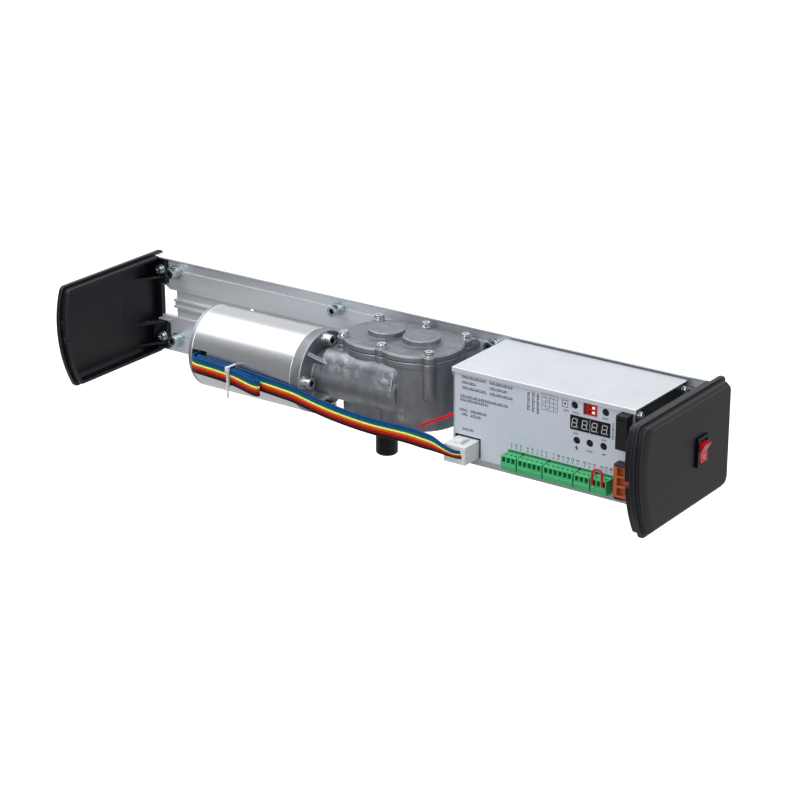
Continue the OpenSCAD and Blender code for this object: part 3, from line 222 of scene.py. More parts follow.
def spread(mat, source, low, high, source_low=0.3, source_high=0.7):
    """Maps a pattern's middle range to low and high."""
    return add(mat, "MapRange", {"Value": source, "From Min": source_low, "From Max": source_high,
                                 "To Min": low, "To Max": high}).outputs["Result"]


def tint(mat, source, low, high):
    """Mixes two hex colours by a pattern."""
    mixed = add(mat, "Mix", {"Factor": source, "A": linear(low), "B": linear(high)}, data_type="RGBA")
    return mixed.outputs[2]


def bumped(mat, source, height_mm):
    """Raises the surface by a pattern, height_mm at most."""
    bump = add(mat, "Bump", {"Height": source, "Distance": height_mm * MM, "Strength": 1.0})
    drive(mat, "Normal", bump.outputs["Normal"])
    return mat


# %% [markdown]
# ## Metals
#
# The profile is extruded aluminium: the die leaves faint lines along it. An image of a
# brushed surface could show them, but a noise that is a hundred times longer than it is
# wide needs no picture and never repeats. The can was turned and polished, so its lines
# run round it, and they are too fine to see: they only widen its mirror band.

# %% Extruded aluminium
extrusion = finish_of("extruded_aluminium", "#D3D8DE", 0.40, metallic=0.5)
die_line_mm = 0.9
die_lines = grain(extrusion, die_line_mm, stretch=(0.01, 1, 1))
drive(extrusion, "Roughness", spread(extrusion, die_lines, 0.34, 0.46))
drive(extrusion, "Base Color", tint(extrusion, die_lines, "#CDD2D9", "#DEE2E7"))
bumped(extrusion, die_lines, 0.015)

# A lighter finish for bevelled edges and the profile's flange top: a painted highlight.
edge_highlight_finish = finish_of("painted_highlight_aluminium", "#E9ECEE", 0.34, metallic=0.6)
bumped(edge_highlight_finish, grain(edge_highlight_finish, 0.5), 0.01)
print("die lines:", die_line_mm, "mm apart")

# %% Turned and polished motor can
turned_can = finish_of("turned_aluminium_can", "#C9CBCE", 0.24, metallic=0.95)
turning_mm = 0.35
turning = grain(turned_can, turning_mm, stretch=(1, 0.02, 0.02))
drive(turned_can, "Roughness", spread(turned_can, turning, 0.21, 0.27))
drive(turned_can, "Base Color", tint(turned_can, turning, "#C6C9CD", "#CDCFD3"))
bumped(turned_can, turning, 0.001)

machined = finish_of("machined_casting", "#9A9DA2", 0.38, metallic=0.8)
bumped(machined, grain(machined, 0.4), 0.015)
print("turning lines:", turning_mm, "mm apart")

# %% [markdown]
# The gearbox is die-cast aluminium that was blasted: an even pebbled skin, with bright
# patches that are partly scuffs where it was handled and partly a painted highlight on
# the top of the worm tunnel. A patch could be painted on the vertices, but a mask in the
# material stays sharp: a ball round each bright place, broken up by two noises, so that
# it has ragged edges like a real scuff. Edges that stick out are made lighter too,
# partly as wear and partly as a painted highlight, and the Pointiness of the mesh says
# where they are.

# %% Scuff marks, edge wear and painted highlights on the casting
casting = finish_of("blasted_die_casting", "#85888F", 0.5, metallic=0.85)
# Bright patches: scuffs, and on the tunnel top a painted highlight.
# The middle and the reach of each patch, in millimetres
scuff_and_highlight_places = [
    ((-10, -80, 58), (24, 12, 10)),
    ((24, -82, 55), (12, 10, 8)),
    ((37.5, -79.5, 30.1), (7, 8, 8)),
]
place = add(casting, "TexCoord").outputs["Object"]
scuffs_and_highlights = 0.0
for middle, reach in scuff_and_highlight_places:
    apart = add(casting, "VectorMath", {0: place, 1: Vector(middle) * MM}, operation="SUBTRACT")
    scaled = add(casting, "VectorMath", {0: apart.outputs[0], 1: Vector(reach) * MM}, operation="DIVIDE")
    length = add(casting, "VectorMath", {0: scaled.outputs[0]}, operation="LENGTH")
    near = spread(casting, length.outputs["Value"], 1, 0, 0.1, 1.0)
    scuffs_and_highlights = add(casting, "Math", {0: scuffs_and_highlights, 1: near}, operation="MAXIMUM").outputs[0]
smears = spread(casting, grain(casting, 6, detail=4), 0.1, 1, 0.42, 0.56)
flecks = spread(casting, grain(casting, 1.3, detail=6), 0.25, 1, 0.42, 0.6)
for breaks in (smears, flecks):
    scuffs_and_highlights = add(casting, "Math", {0: scuffs_and_highlights, 1: breaks}, operation="MULTIPLY").outputs[0]
# Sharp edges are made lighter: partly wear, partly a painted highlight.
edges = add(casting, "NewGeometry").outputs["Pointiness"]
worn_and_lit_edges = spread(casting, edges, 0, 1, 0.51, 0.57)
scuffs_and_highlights = add(casting, "Math", {0: scuffs_and_highlights, 1: worn_and_lit_edges}, operation="MAXIMUM").outputs[0]
print("rubbed places:", len(scuff_and_highlight_places))

# %% [markdown]
# Two grains make the skin of the casting: pebbles of the blasting, 0.7 mm across, and
# the slow flow marks of the poured metal, ten times as wide. Both move the colour or
# the roughness a little, and together they raise the surface by 0.07 mm at most.

# %% Blasted die casting
skin = grain(casting, 0.7, detail=4)
flow = grain(casting, 7, stretch=(1, 1, 0.35))
grey = tint(casting, spread(casting, flow, 0, 1), "#7A7D84", "#8E9198")
# The scuffs, the edge wear and the painted highlights lighten the grey here.
scuffed_and_lit = add(casting, "Mix", {"Factor": scuffs_and_highlights, "A": grey, "B": linear("#D6D9DE")}, data_type="RGBA")
drive(casting, "Base Color", scuffed_and_lit.outputs[2])
drive(casting, "Roughness", spread(casting, skin, 0.42, 0.58))
pebbles = add(casting, "Mix", {"Factor": 0.3, "A": skin, "B": flow})
bumped(casting, pebbles.outputs[0], 0.07)
print("casting nodes:", len(casting.node_tree.nodes))

# %% [markdown]
# Small hardware is zinc plated. Bright zinc is nearly a mirror, and the blue-green
# passivated kind drifts in hue over a few millimetres, which a tint between two hex
# colours gives. The metals inside the motor and the gearbox only show when the housing
# is taken away, so one grain each is enough.

# %% Zinc plating and steel
bright_zinc = finish_of("bright_zinc_plating", "#D3D8DA", 0.2, metallic=1.0)
drive(bright_zinc, "Roughness", spread(bright_zinc, grain(bright_zinc, 1.2), 0.14, 0.3))

blue_zinc = finish_of("blue_passivated_zinc", "#A5BBBC", 0.24, metallic=1.0)
hue_drift = spread(blue_zinc, grain(blue_zinc, 4), 0, 1)
drive(blue_zinc, "Base Color", tint(blue_zinc, hue_drift, "#A2B9BC", "#DCE6E6"))

black_steel = finish_of("blackened_steel", "#09090B", 0.42, metallic=0.1, Specular_IOR_Level=0.3)
bumped(black_steel, grain(black_steel, 0.6), 0.01)

ground_steel = finish_of("ground_steel", "#B0B3B7", 0.25, metallic=1.0)
drive(ground_steel, "Roughness", spread(ground_steel, grain(ground_steel, 0.5), 0.2, 0.32))
print("metals so far:", len(bpy.data.materials))

# %% Metals inside
laminations = finish_of("stacked_laminations", "#6B6D72", 0.45, metallic=0.9)
bumped(laminations, grain(laminations, 0.5, stretch=(1, 0.01, 0.01)), 0.05)

copper = finish_of("enamelled_copper", "#B5652F", 0.3, metallic=0.9)
bumped(copper, grain(copper, 0.7, stretch=(0.1, 1, 1)), 0.08)

bronze = finish_of("oiled_bronze", "#B8863B", 0.3, metallic=1.0)
oil_film = spread(bronze, grain(bronze, 6), 0, 1)
drive(bronze, "Base Color", tint(bronze, oil_film, "#A87A34", "#C59545"))

magnet = finish_of("sintered_magnet", "#2E2E31", 0.5, metallic=0.4)
bumped(magnet, grain(magnet, 0.6), 0.02)
print("metals:", len(bpy.data.materials))

# %% [markdown]
# ## Painted sheet and plastics
#
# The lid is steel sheet with a pale coat, and its folds get a lighter finish, a painted
# highlight. The panel is a printed film, a little bluer. Both drift in colour over a few
# centimetres, as broad sheets do. The chassis is bare zinc-coated sheet, and its side
# next to the right end cap is painted dark: painted shade and a painted reflection of
# the black cap.

# %% Sheet and panel
coated_sheet = finish_of("coated_sheet", "#B0B4BA", 0.36)
coat_drift = spread(coated_sheet, grain(coated_sheet, 30), 0, 1)
drive(coated_sheet, "Base Color", tint(coated_sheet, coat_drift, "#ACB0B6", "#B3B7BD"))
bumped(coated_sheet, grain(coated_sheet, 0.9), 0.01)

# A lighter finish for the lid's folds: a painted highlight along its edges.
lid_edge_highlight = finish_of("lid_edge_highlight", "#E3E6EA", 0.3)
bumped(lid_edge_highlight, grain(lid_edge_highlight, 0.9), 0.01)

# A dark finish for the chassis side next to the right cap: painted shade and a painted reflection of the
# black cap.
painted_shade_steel = finish_of("painted_shade_chassis_side", "#2A2D32", 0.4, metallic=0.5)
bumped(painted_shade_steel, grain(painted_shade_steel, 0.9), 0.01)

bright_sheet = finish_of("zinc_coated_sheet", "#B9C0C6", 0.34, metallic=0.7)
drive(bright_sheet, "Roughness", spread(bright_sheet, grain(bright_sheet, 5), 0.28, 0.42))

printed_film = finish_of("panel_film", "#B5BCC8", 0.42)
film_drift = spread(printed_film, grain(printed_film, 40), 0, 1)
drive(printed_film, "Base Color", tint(printed_film, film_drift, "#B1B8C4", "#BABFCA"))
bumped(printed_film, grain(printed_film, 0.6), 0.008)
print("metals and sheets:", len(bpy.data.materials))

# %% [markdown]
# The end caps are moulded ABS with a spark-eroded texture: it scatters a grazing light
# into grey, so the black looks lighter on the faces that lean towards the lamps. Every
# other plastic is a moulding too, so one function makes them all from a colour, a
# roughness and the size of the mould's texture. Wires are smoother than housings.


# %% Moulded plastics
def moulded(name, colour, roughness=0.45, texture_mm=0.5, height_mm=0.012, **sockets):
    """A moulded plastic: one colour with the fine texture of its mould."""
    mat = finish_of(name, colour, roughness, **sockets)
    mould = grain(mat, texture_mm)
    drive(mat, "Roughness", spread(mat, mould, roughness - 0.05, roughness + 0.07))
    return bumped(mat, mould, height_mm)


cap_abs = moulded("textured_black_abs", "#0C0B13", 0.40, texture_mm=0.7, height_mm=0.015,
                  Specular_IOR_Level=0.34)
# The lighter colour of the caps' edges is a painted highlight.
cap_edge_highlight = moulded("painted_highlight_abs_edge", "#2C2C32", 0.3, Specular_IOR_Level=0.4)
# Pale grey for the tongue: a painted highlight of grazing light on a black tab.
tongue_highlight = moulded("painted_highlight_grey", "#A9ABAD", 0.35)
black_nylon = moulded("black_nylon", "#0E0F12", 0.42, Specular_IOR_Level=0.4)
# Near black for the faces inside sockets: painted shade.
socket_shade = moulded("painted_recess_shade", "#050506", 0.6)
gloss_black = moulded("glossy_black_plastic", "#060608", 0.26, height_mm=0.003, Specular_IOR_Level=0.28)
slider_white = moulded("slider_white", "#F1F1EE", 0.4)
plug_green = moulded("terminal_green", "#3EA368", 0.36)
header_green = moulded("header_green", "#1F6B45", 0.42)
terminal_orange = moulded("terminal_orange", "#B2562C", 0.28, Transmission_Weight=0.1)
nylon_white = moulded("natural_nylon", "#C3C8C9", 0.4, Subsurface_Weight=0.15, Subsurface_Scale=0.002)
display_face = moulded("display_face", "#08080A", 0.45, height_mm=0.002, Specular_IOR_Level=0.3)
segment_white = moulded("segment_white", "#A9ABB0", 0.4, height_mm=0.002)
board_green = moulded("coated_circuit_board", "#0F5A34", 0.3)
ink = moulded("printing_ink", "#1B1C23", 0.5, height_mm=0.001)
lens_red = moulded("translucent_red", "#C8202A", 0.16, height_mm=0.002, Transmission_Weight=0.2, IOR=1.49)
mark_white = moulded("moulded_white_mark", "#E9C9CC", 0.3, height_mm=0.001)
wire_red = moulded("red_insulation", "#B90D18", 0.3, height_mm=0.003)
jumper_red = moulded("crimson_insulation", "#B00F2E", 0.3, height_mm=0.003)
gasket_black = moulded("black_gasket", "#0B0B0C", 0.7)
seal_rubber = moulded("seal_rubber", "#131212", 0.6)
fuse_glass = finish_of("fuse_glass", "#EAF2F0", 0.03, Transmission_Weight=0.9, IOR=1.5)
print("materials:", len(bpy.data.materials))

# %% [markdown]
# The slide switch is red, and its left part is painted darker than the rest, a painted
# shade: the change is mapped from the place along x, in metres. The floor is plain white.
# It glows for the lens alone, so the undersides of the drive stay as dark as they are.

# %% Switch red
shade_start, shade_end = 0.190, 0.196
switch_red = moulded("switch_red", "#A80F19", 0.35)
along = add(switch_red, "SeparateXYZ", {"Vector": add(switch_red, "TexCoord").outputs["Object"]})
# The darker left part is painted shade.
shade = spread(switch_red, along.outputs["X"], 0, 1, shade_start, shade_end)
drive(switch_red, "Base Color", tint(switch_red, shade, "#640A10", "#B8121C"))
print("switch red changes over", round((shade_end - shade_start) / MM, 1), "mm")

# %% The floor's own white
floor_white = finish_of("white_floor", "#9C9C9C", 0.8)
floor_white.node_tree.nodes["Principled BSDF"].inputs["Emission Color"].default_value = (1, 1, 1, 1)
lens_sees = add(floor_white, "LightPath").outputs["Is Camera Ray"]
drive(floor_white, "Emission Strength", spread(floor_white, lens_sees, 0.12, 0.95, 0, 1))
bumped(floor_white, grain(floor_white, 4), 0.02)
floor.data.materials.append(floor_white)
print("materials:", len(bpy.data.materials))

# %% [markdown]
# ## Rounding a true shape
#
# A drawn edge is perfectly sharp, and no real edge is. A sharp edge catches no light,
# so a shape without rounding looks like paper. Each part that shows is copied, its
# doubled points are merged, flat faces are joined up, and a narrow Bevel modifier
# rounds its outward edges. Edges that turn inward are left sharp, as folded and
# machined parts have them. Where an edge should look bright, the bevel gets a second,
# lighter finish, a painted highlight. Weighted normals keep the large faces flat
# between their round edges.


# %% Select a piece
def select_only(piece):
    """Makes a piece the only one selected, and the active one."""
    bpy.ops.object.select_all(action="DESELECT")
    piece.select_set(True)
    bpy.context.view_layer.objects.active = piece


# %% Apply a modifier
def modify(piece, kind, **settings):
    """Gives a piece a modifier with its settings and applies it."""
    select_only(piece)
    modifier = piece.modifiers.new(kind.lower(), kind)
    for name, value in settings.items():
        setattr(modifier, name, value)
    bpy.ops.object.modifier_apply(modifier=modifier.name)


# %% Settle a finished piece
def settle(piece, body, slot, smooth_angle=35, flat_faces=False):
    """Smooths a finished piece, puts its place in its mesh and makes it ride on a body."""
    select_only(piece)
    bpy.ops.object.transform_apply(location=True, rotation=True, scale=True)
    bpy.ops.object.shade_smooth_by_angle(angle=math.radians(smooth_angle))
    if flat_faces:
        modify(piece, "WEIGHTED_NORMAL", keep_sharp=True)
    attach(piece, body)
    return piece


# %% Copy and merge
def merged_copy(node, finish, join_flat=True):
    """Copies a drawn part with its doubled points merged and, where asked, its flat faces joined."""
    mesh = frame["nodes"][node].data.copy()
    piece = bpy.data.objects.new(node + "_dressed", mesh)
    bpy.context.scene.collection.objects.link(piece)
    mesh.materials.clear()
    mesh.materials.append(finish)
    select_only(piece)
    bpy.ops.object.mode_set(mode="EDIT")
    bpy.ops.mesh.select_all(action="SELECT")
    bpy.ops.mesh.remove_doubles(threshold=0.002 * MM)
    if join_flat:
        bpy.ops.mesh.dissolve_limited(angle_limit=math.radians(0.6))
    bpy.ops.object.mode_set(mode="OBJECT")
    return piece


# %% Round the edges
sharp_angle = math.radians(32)


def weigh_edges(mesh):
    """Gives every outward edge that is sharp a full bevel weight."""
    shape = bmesh.new()
    shape.from_mesh(mesh)
    weight = shape.edges.layers.float.new("bevel_weight_edge")
    for edge in shape.edges:
        if len(edge.link_faces) == 2 and edge.is_convex:
            edge[weight] = float(edge.calc_face_angle() > sharp_angle)
    shape.to_mesh(mesh)
    shape.free()


def dress(node, finish, edge_mm, edge_finish=None, segments=2):
    """Puts a rounded copy of a drawn part in its place, with a finish."""
    piece = merged_copy(node, finish)
    if edge_finish:
        piece.data.materials.append(edge_finish)
    if edge_mm:
        weigh_edges(piece.data)
        modify(piece, "BEVEL", width=edge_mm * MM, segments=segments, limit_method="WEIGHT",
               use_clamp_overlap=False, material=1 if edge_finish else -1)
    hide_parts(node)
    return settle(piece, body_of[node], slot_of[node], flat_faces=True)


# %% Repaint and join
def repaint(finish, *nodes):
    """Gives drawn parts that stay as they are a better finish."""
    for node in nodes:
        mesh = frame["nodes"][node].data
        mesh.materials.clear()
        mesh.materials.append(finish)


def join(pieces, name):
    """Joins pieces into the first one."""
    select_only(pieces[0])
    for piece in pieces:
        piece.select_set(True)
    bpy.ops.object.join()
    pieces[0].name = name
    return pieces[0]


# %% [markdown]
# A hex socket swallows light, so the faces inside one are given a dark finish, painted
# shade. They are found by their place: each screw is a loose part of the mesh, and a
# socket's faces lie close to its axis and deeper than the front of its head.


# %% Find loose parts
def loose_parts(shape):
    """The groups of a bmesh's faces that hang together."""
    left = set(shape.faces)
    while left:
        group = []
        waiting = [left.pop()]
        while waiting:
            face = waiting.pop()
            group.append(face)
            for edge in face.edges:
                for other in edge.link_faces:
                    if other in left:
                        left.remove(other)
                        waiting.append(other)
        yield group


# %% Darken sockets
def darken_sockets(piece, axis, outward, reach_mm, finish, least_mm=0.05, most_mm=4):
    """Gives the faces inside sockets a finish, painted shade. The heads face outward, -1 or 1, along an
    axis.
    """
    piece.data.materials.append(finish)
    dark = len(piece.data.materials) - 1
    shape = bmesh.new()
    shape.from_mesh(piece.data)
    changed = 0
    for part in loose_parts(shape):
        places = [v.co for face in part for v in face.verts]
        ends = [(min(p[k] for p in places), max(p[k] for p in places)) for k in range(3)]
        middle = Vector([(low + high) / 2 for low, high in ends])
        front = max(p[axis] * outward for p in places)
        for face in part:
            off = face.calc_center_median()
            deep = front - off[axis] * outward
            off = off - middle
            off[axis] = 0
            if off.length < reach_mm * MM and least_mm * MM < deep < most_mm * MM:
                face.material_index = dark
                changed += 1
    shape.to_mesh(piece.data)
    shape.free()
    return changed


# %% [markdown]
# ## The base profile and its screws
#
# The bevelled edges of the long profile and the top faces of its flange get a lighter
# finish than the skin of the extrusion, a painted highlight: on the flange it stands
# for the bright light from above that the flange reflects. The faces of the flange are
# found by their normal and their height and get this finish, as the bevelled edges do.

# %% Dress the profile
profile = dress("base_profile", extrusion, 0.15, edge_highlight_finish)
flange_depth = 2 * MM
profile_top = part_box("base_profile")[1].z
# The flange's top faces get the painted highlight.
for face in profile.data.polygons:
    if face.normal.z > 0.7 and face.center.z > profile_top - flange_depth:
        face.material_index = 1
print("profile faces:", len(profile.data.polygons))

# %% Base screws
socket_reach = 2.9
base_screws = dress("base_screws", blue_zinc, 0.2)
# The socket faces get the painted shade.
print("socket faces:", darken_sockets(base_screws, 1, -1, socket_reach, socket_shade))

# %% [markdown]
# ## The end caps
#
# Each cap is one moulding with a domed outer face. Its edges get a lighter and glossier
# finish than the textured faces between them, a painted highlight, and the bevel gets
# three segments for a soft highlight.

# %% Dress the caps
# The caps' bevels get the painted highlight.
for cap in ("end_cap_left", "end_cap_right"):
    shell = dress(cap, cap_abs, 0.35, cap_edge_highlight, segments=3)
    print(cap, "faces:", len(shell.data.polygons))
dress("cap_screws", bright_zinc, 0.2)

# %% [markdown]
# A short tongue of the left cap reaches into the cable notch of the profile. Its pale
# grey is a painted highlight, the grazing light on the top edge of a black tab. It is a
# box whose end is pulled narrower and whose edges are rounded.

# %% Locating tongue
tongue_low, tongue_high = Vector((-250.5, -9, 27)), Vector((-238.5, -5.5, 28.5))
end_share = 0.6
bpy.ops.mesh.primitive_cube_add(size=MM, location=(tongue_low + tongue_high) / 2 * MM,
                                scale=tongue_high - tongue_low)
tongue = bpy.context.object
tongue.name = "locating_tongue"
# Its pale grey is the painted highlight.
tongue.data.materials.append(tongue_highlight)
for v in tongue.data.vertices:
    if v.co.x > 0:
        v.co.y *= end_share
modify(tongue, "BEVEL", width=0.5 * MM, segments=3)
settle(tongue, "root", slot_of["end_cap_left"])
print("tongue faces:", len(tongue.data.polygons))

# %% [markdown]
# ## The motor
#
# The can is a turned tube between a rear cover and a front plate. What is inside it is
# drawn too, but only shows through the cable window, so those parts keep their drawn
# shape and only get their finish.

# %% Dress the motor
# The lighter finish on the bevels of the can and its rear cover is a painted highlight.
dress("motor_can", turned_can, 0.3, edge_highlight_finish)
dress("motor_rear_cover", machined, 0.4, edge_highlight_finish)
dress("motor_front_plate", machined, 0.2)
repaint(laminations, "motor_stator")
repaint(copper, "motor_windings")
repaint(board_green, "motor_sensor_board")
repaint(ground_steel, "motor_bearings", "rotor_shaft")
repaint(magnet, "rotor_magnets")

# %% [markdown]
# ## The gearbox
#
# A die casting has no sharp line on it: metal flows round every corner, and a soft
# fillet fills every inward edge. A bevel can't follow the line where the worm tunnel
# runs into the round wall, so the drawn shape is remeshed instead. Its skin becomes an
# even net of small squares, and smoothing that net rounds outward and inward edges
# alike, as wide as a few squares.


# %% Cast skin by remeshing
def cast_skin(node, finish, net_mm, passes, keep):
    """Puts a remeshed and smoothed copy of a drawn part in its place, with keep of its faces."""
    piece = merged_copy(node, finish, join_flat=False)
    modify(piece, "REMESH", mode="VOXEL", voxel_size=net_mm * MM)
    modify(piece, "SMOOTH", factor=0.5, iterations=passes)
    modify(piece, "DECIMATE", ratio=keep)
    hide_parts(node)
    return settle(piece, body_of[node], slot_of[node], smooth_angle=60)


housing = cast_skin("gearbox_housing", casting, 0.5, 2, 0.35)
cover = cast_skin("gearbox_cover", casting, 0.34, 2, 0.4)
print("housing faces:", len(housing.data.polygons), "cover faces:", len(cover.data.polygons))

# %% Screws and spindle
# The crosses and sockets of these screws get the painted shade.
cover_screws = dress("cover_screws", bright_zinc, 0.15)
print("cross faces:", darken_sockets(cover_screws, 2, 1, 1.7, socket_shade, least_mm=0.7))
flange_screws = dress("flange_screws", bright_zinc, 0.2)
print("socket faces:", darken_sockets(flange_screws, 0, 1, socket_reach, socket_shade))
dress("output_spindle", black_steel, 0.2)

# %% Bearings and gears
repaint(gasket_black, "gearbox_gasket")
repaint(seal_rubber, "spindle_seal")
repaint(bright_zinc, "gearbox_mount_screws")
repaint(bronze, "gear_bushes", "worm_wheel", "idler_gear")
repaint(ground_steel, "worm_bearings", "worm", "wheel_pinion", "idler_shaft", "output_gear")

# %% [markdown]
# ## The controller
#
# The box is folded from two sheets and screwed together. The lid's bevels get a lighter
# finish, a painted highlight along its folds. The faces of the chassis towards the right
# end cap get a dark finish, painted shade, and they are found by their normal.

# %% Dress the box
chassis = dress("controller_chassis", bright_sheet, 0.2)
chassis.data.materials.append(painted_shade_steel)
# The faces towards the right end cap get the painted shade.
for face in chassis.data.polygons:
    if face.normal.x > 0.9:
        face.material_index = 1
print("chassis faces:", len(chassis.data.polygons))
# The lid's bevels get the painted highlight.
dress("controller_lid", coated_sheet, 0.35, lid_edge_highlight)
dress("lid_screws", blue_zinc, 0.15)
repaint(bright_zinc, "controller_spacers")
repaint(board_green, "power_board", "display_board")
repaint(black_nylon, "board_parts")

# %% Keys, switches and display
dress("digit_display", display_face, 0.15)
for key in ("learn", "test", "plus", "set", "minus"):
    dress(f"button_{key}", black_nylon, 0.25)
dress("dip_switch_body", switch_red, 0.12)
for level in ("upper", "lower"):
    dress(f"dip_slider_{level}", slider_white, 0.12)
dress("fuse_holder", black_nylon, 0.3)
dress("fuse_carrier", black_nylon, 0.25)
repaint(fuse_glass, "fuse")

# %% [markdown]
# The plugs are mouldings of nylon. The mains terminal is orange with a black top and
# foot, which are told apart by their height. The drawn tie is a little wider than the
# real strap, so its copy is narrowed about its own middle.

# %% Plugs and terminals
dress("terminal_headers", header_green, 0.1)
dress("terminal_plugs", plug_green, 0.2)
terminal = dress("mains_terminal", terminal_orange, 0.25)
terminal.data.materials.append(black_nylon)
top_plate, foot_plate = 37.6 * MM, 15.1 * MM
for face in terminal.data.polygons:
    if face.center.z > top_plate or face.center.z < foot_plate:
        face.material_index = 1
dress("motor_plug", nylon_white, 0.4)
print("terminal faces:", len(terminal.data.polygons))

# %% Tie and lead
strap_share = 0.7
tie = dress("cable_tie", nylon_white, 0.15)
tie_low, tie_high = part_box("cable_tie")
tie_middle = (tie_low.x + tie_high.x) / 2
for v in tie.data.vertices:
    v.co.x = tie_middle + (v.co.x - tie_middle) * strap_share
dress("red_lead", wire_red, 0)
print("strap width:", round((tie_high.x - tie_low.x) * strap_share / MM, 1), "mm")

# %% [markdown]
# The plug passes through an opening that is a little bigger than itself, and the gap
# shows black. A box is taken out of the panel's copy with a Boolean modifier.

# %% Panel with its opening
panel = merged_copy("front_panel", printed_film, join_flat=False)
opening_low = Vector((84.0, -83, 13.2))
opening_high = Vector((105.8, -78, 28.5))
bpy.ops.mesh.primitive_cube_add(size=1, location=(opening_low + opening_high) / 2 * MM,
                                scale=(opening_high - opening_low) * MM)
cutter = bpy.context.object
modify(panel, "BOOLEAN", operation="DIFFERENCE", object=cutter)
bpy.data.objects.remove(cutter)
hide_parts("front_panel")
settle(panel, "root", slot_of["front_panel"], flat_faces=True)
print("panel faces:", len(panel.data.polygons))

# %% [markdown]
# The jumper is a short loop of insulated wire. Its copy is swollen by a Displace modifier
# to the thickness of the insulation.

# %% Jumper
jumper = merged_copy("terminal_jumper", jumper_red, join_flat=False)
insulation_mm = 0.14
modify(jumper, "DISPLACE", strength=insulation_mm * MM, mid_level=0)
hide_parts("terminal_jumper")
settle(jumper, "root", slot_of["terminal_jumper"])
print("jumper faces:", len(jumper.data.polygons))

# %% [markdown]
# ## Printing on the panel
#
# Screen printing leaves a skin of ink a few hundredths of a millimetre thick. A mask in
# the material could draw it, but thin plates keep sharp edges at any distance. The rows
# are made of short rules, two to a cell, which is as much as the eye resolves of a small
# print, and the numbers and signs are real ones.

# %% Plates of ink
panel_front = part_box("front_panel")[0].y
ink_mm = 0.04


def thicken(piece):
    """Gives a flat piece the thickness of a coat of ink, towards its front."""
    modify(piece, "SOLIDIFY", thickness=ink_mm * MM, offset=1)


def plates(name, rectangles, front, finish):
    """Upright plates of (x, z, width, height) in mm on the plane y = front, as one piece."""
    piece = bpy.data.objects.new(name, bpy.data.meshes.new(name))
    bpy.context.scene.collection.objects.link(piece)
    piece.data.materials.append(finish)
    select_only(piece)
    bpy.ops.object.mode_set(mode="EDIT")
    for x, z, width, height in rectangles:
        middle = (x * MM, front, z * MM)
        bpy.ops.mesh.primitive_plane_add(size=MM, location=middle, rotation=(math.pi / 2, 0, 0))
        bpy.ops.transform.resize(value=(width, 1, height), center_override=middle)
    bpy.ops.object.mode_set(mode="OBJECT")
    thicken(piece)
    return piece


# %% A row of rules
def row(start, end, across, stroke=0.68, height=1.8, upright=False):
    """A row of small rules from start to end: cells of two strokes, not all of one length."""
    cell_lengths = (1.5, 1.2, 1.7, 1.3, 1.6)
    upper_shares = (0.7, 1.0, 0.5)
    cell_gap = 0.25
    made = []
    at = start
    while at < end:
        k = len(made) // 2
        cell = min(cell_lengths[k % 5], end - at)
        for side, share in ((-1, 1.0), (1, upper_shares[k % 3])):
            middle = at + cell * share / 2
            off = across + side * (height - stroke) / 2
            made.append((off, middle, stroke, cell * share) if upright
                        else (middle, off, cell * share, stroke))
        at += cell + cell_gap
    return made


# %% Rows of print
# Start x, end x and height z of each level row, in millimetres
level_rows = [
    (89.6, 109.9, 72), (112.6, 131.5, 72), (89.8, 101.3, 68), (112.9, 126.9, 68),
    (89.9, 110, 64), (113, 131.6, 64), (88.5, 127.9, 57.6), (88.5, 111.5, 54.9),
    (88.1, 94.6, 47.4), (97, 110.2, 47.4), (89.8, 94.4, 44.2), (97, 105.8, 44.2),
    (90.4, 99.8, 33.2),
]
small_rows = [
    (181, 184.9, 50.4), (203.2, 207.2, 50.4), (191.8, 196.8, 39.8),
    (172.8, 177, 65.3), (180, 185.4, 65.3), (203.6, 208, 66.2),
]
# Low z, high z and x of each upright row
upright_rows = [(59, 72.1, 144.6), (58.4, 73, 148.5), (57.7, 72.6, 152.2)]
ink_rules = []
for start, end, z in level_rows:
    ink_rules += row(start, end, z)
for start, end, x in upright_rows:
    ink_rules += row(start, end, x, upright=True)
for start, end, z in small_rows:
    ink_rules += row(start, end, z, stroke=0.38, height=1.1)
ink_rules += row(52.3, 64.5, 212, stroke=0.42, height=1.3, upright=True)
print("rules in rows:", len(ink_rules))

# %% Table
table_low, table_high = Vector((155.3, 62.0)), Vector((167.8, 74.0))
table_line = 0.28
lines_each_way = 5
cell_w, cell_h = 3.12, 3
mark_w, mark_h = 1.1, 0.5
marked_cells = ((0, 3), (1, 2), (0, 1), (2, 3), (3, 0), (1, 0))
table_size, table_middle = table_high - table_low, (table_low + table_high) / 2
for k in range(lines_each_way):
    x, z = table_low + table_size * k / (lines_each_way - 1)
    ink_rules.append((x, table_middle.y, table_line, table_size.y))
    ink_rules.append((table_middle.x, z, table_size.x, table_line))
for column, line in marked_cells:
    x, z = table_low.x + cell_w * (column + 0.5), table_low.y + cell_h * (line + 0.5)
    ink_rules.append((x, z, mark_w, mark_h))
print("with the table:", len(ink_rules))

# %% Signs, and a square with a dot
sign_w, sign_t, sign_z = 2.8, 0.75, 40
plus_x, minus_x = 183.8, 205.3
stub_h, stub_off = 1.36, 1.06
square_x, square_z, square_line = 173.9, 70.1, 0.35
dot_size = 1.4
ink_rules.append((plus_x, sign_z, sign_w, sign_t))
ink_rules += [(plus_x, sign_z + side * stub_off, sign_t, stub_h) for side in (1, -1)]
ink_rules.append((minus_x, sign_z, sign_w, sign_t))
ink_rules += [(square_x, square_z + side * 2.4, 4.6, square_line) for side in (1, -1)]
ink_rules += [(square_x + side * 2.1, square_z, square_line, 4.4) for side in (-1, 1)]
ink_rules.append((square_x, square_z, dot_size, dot_size))
print("with the signs:", len(ink_rules))

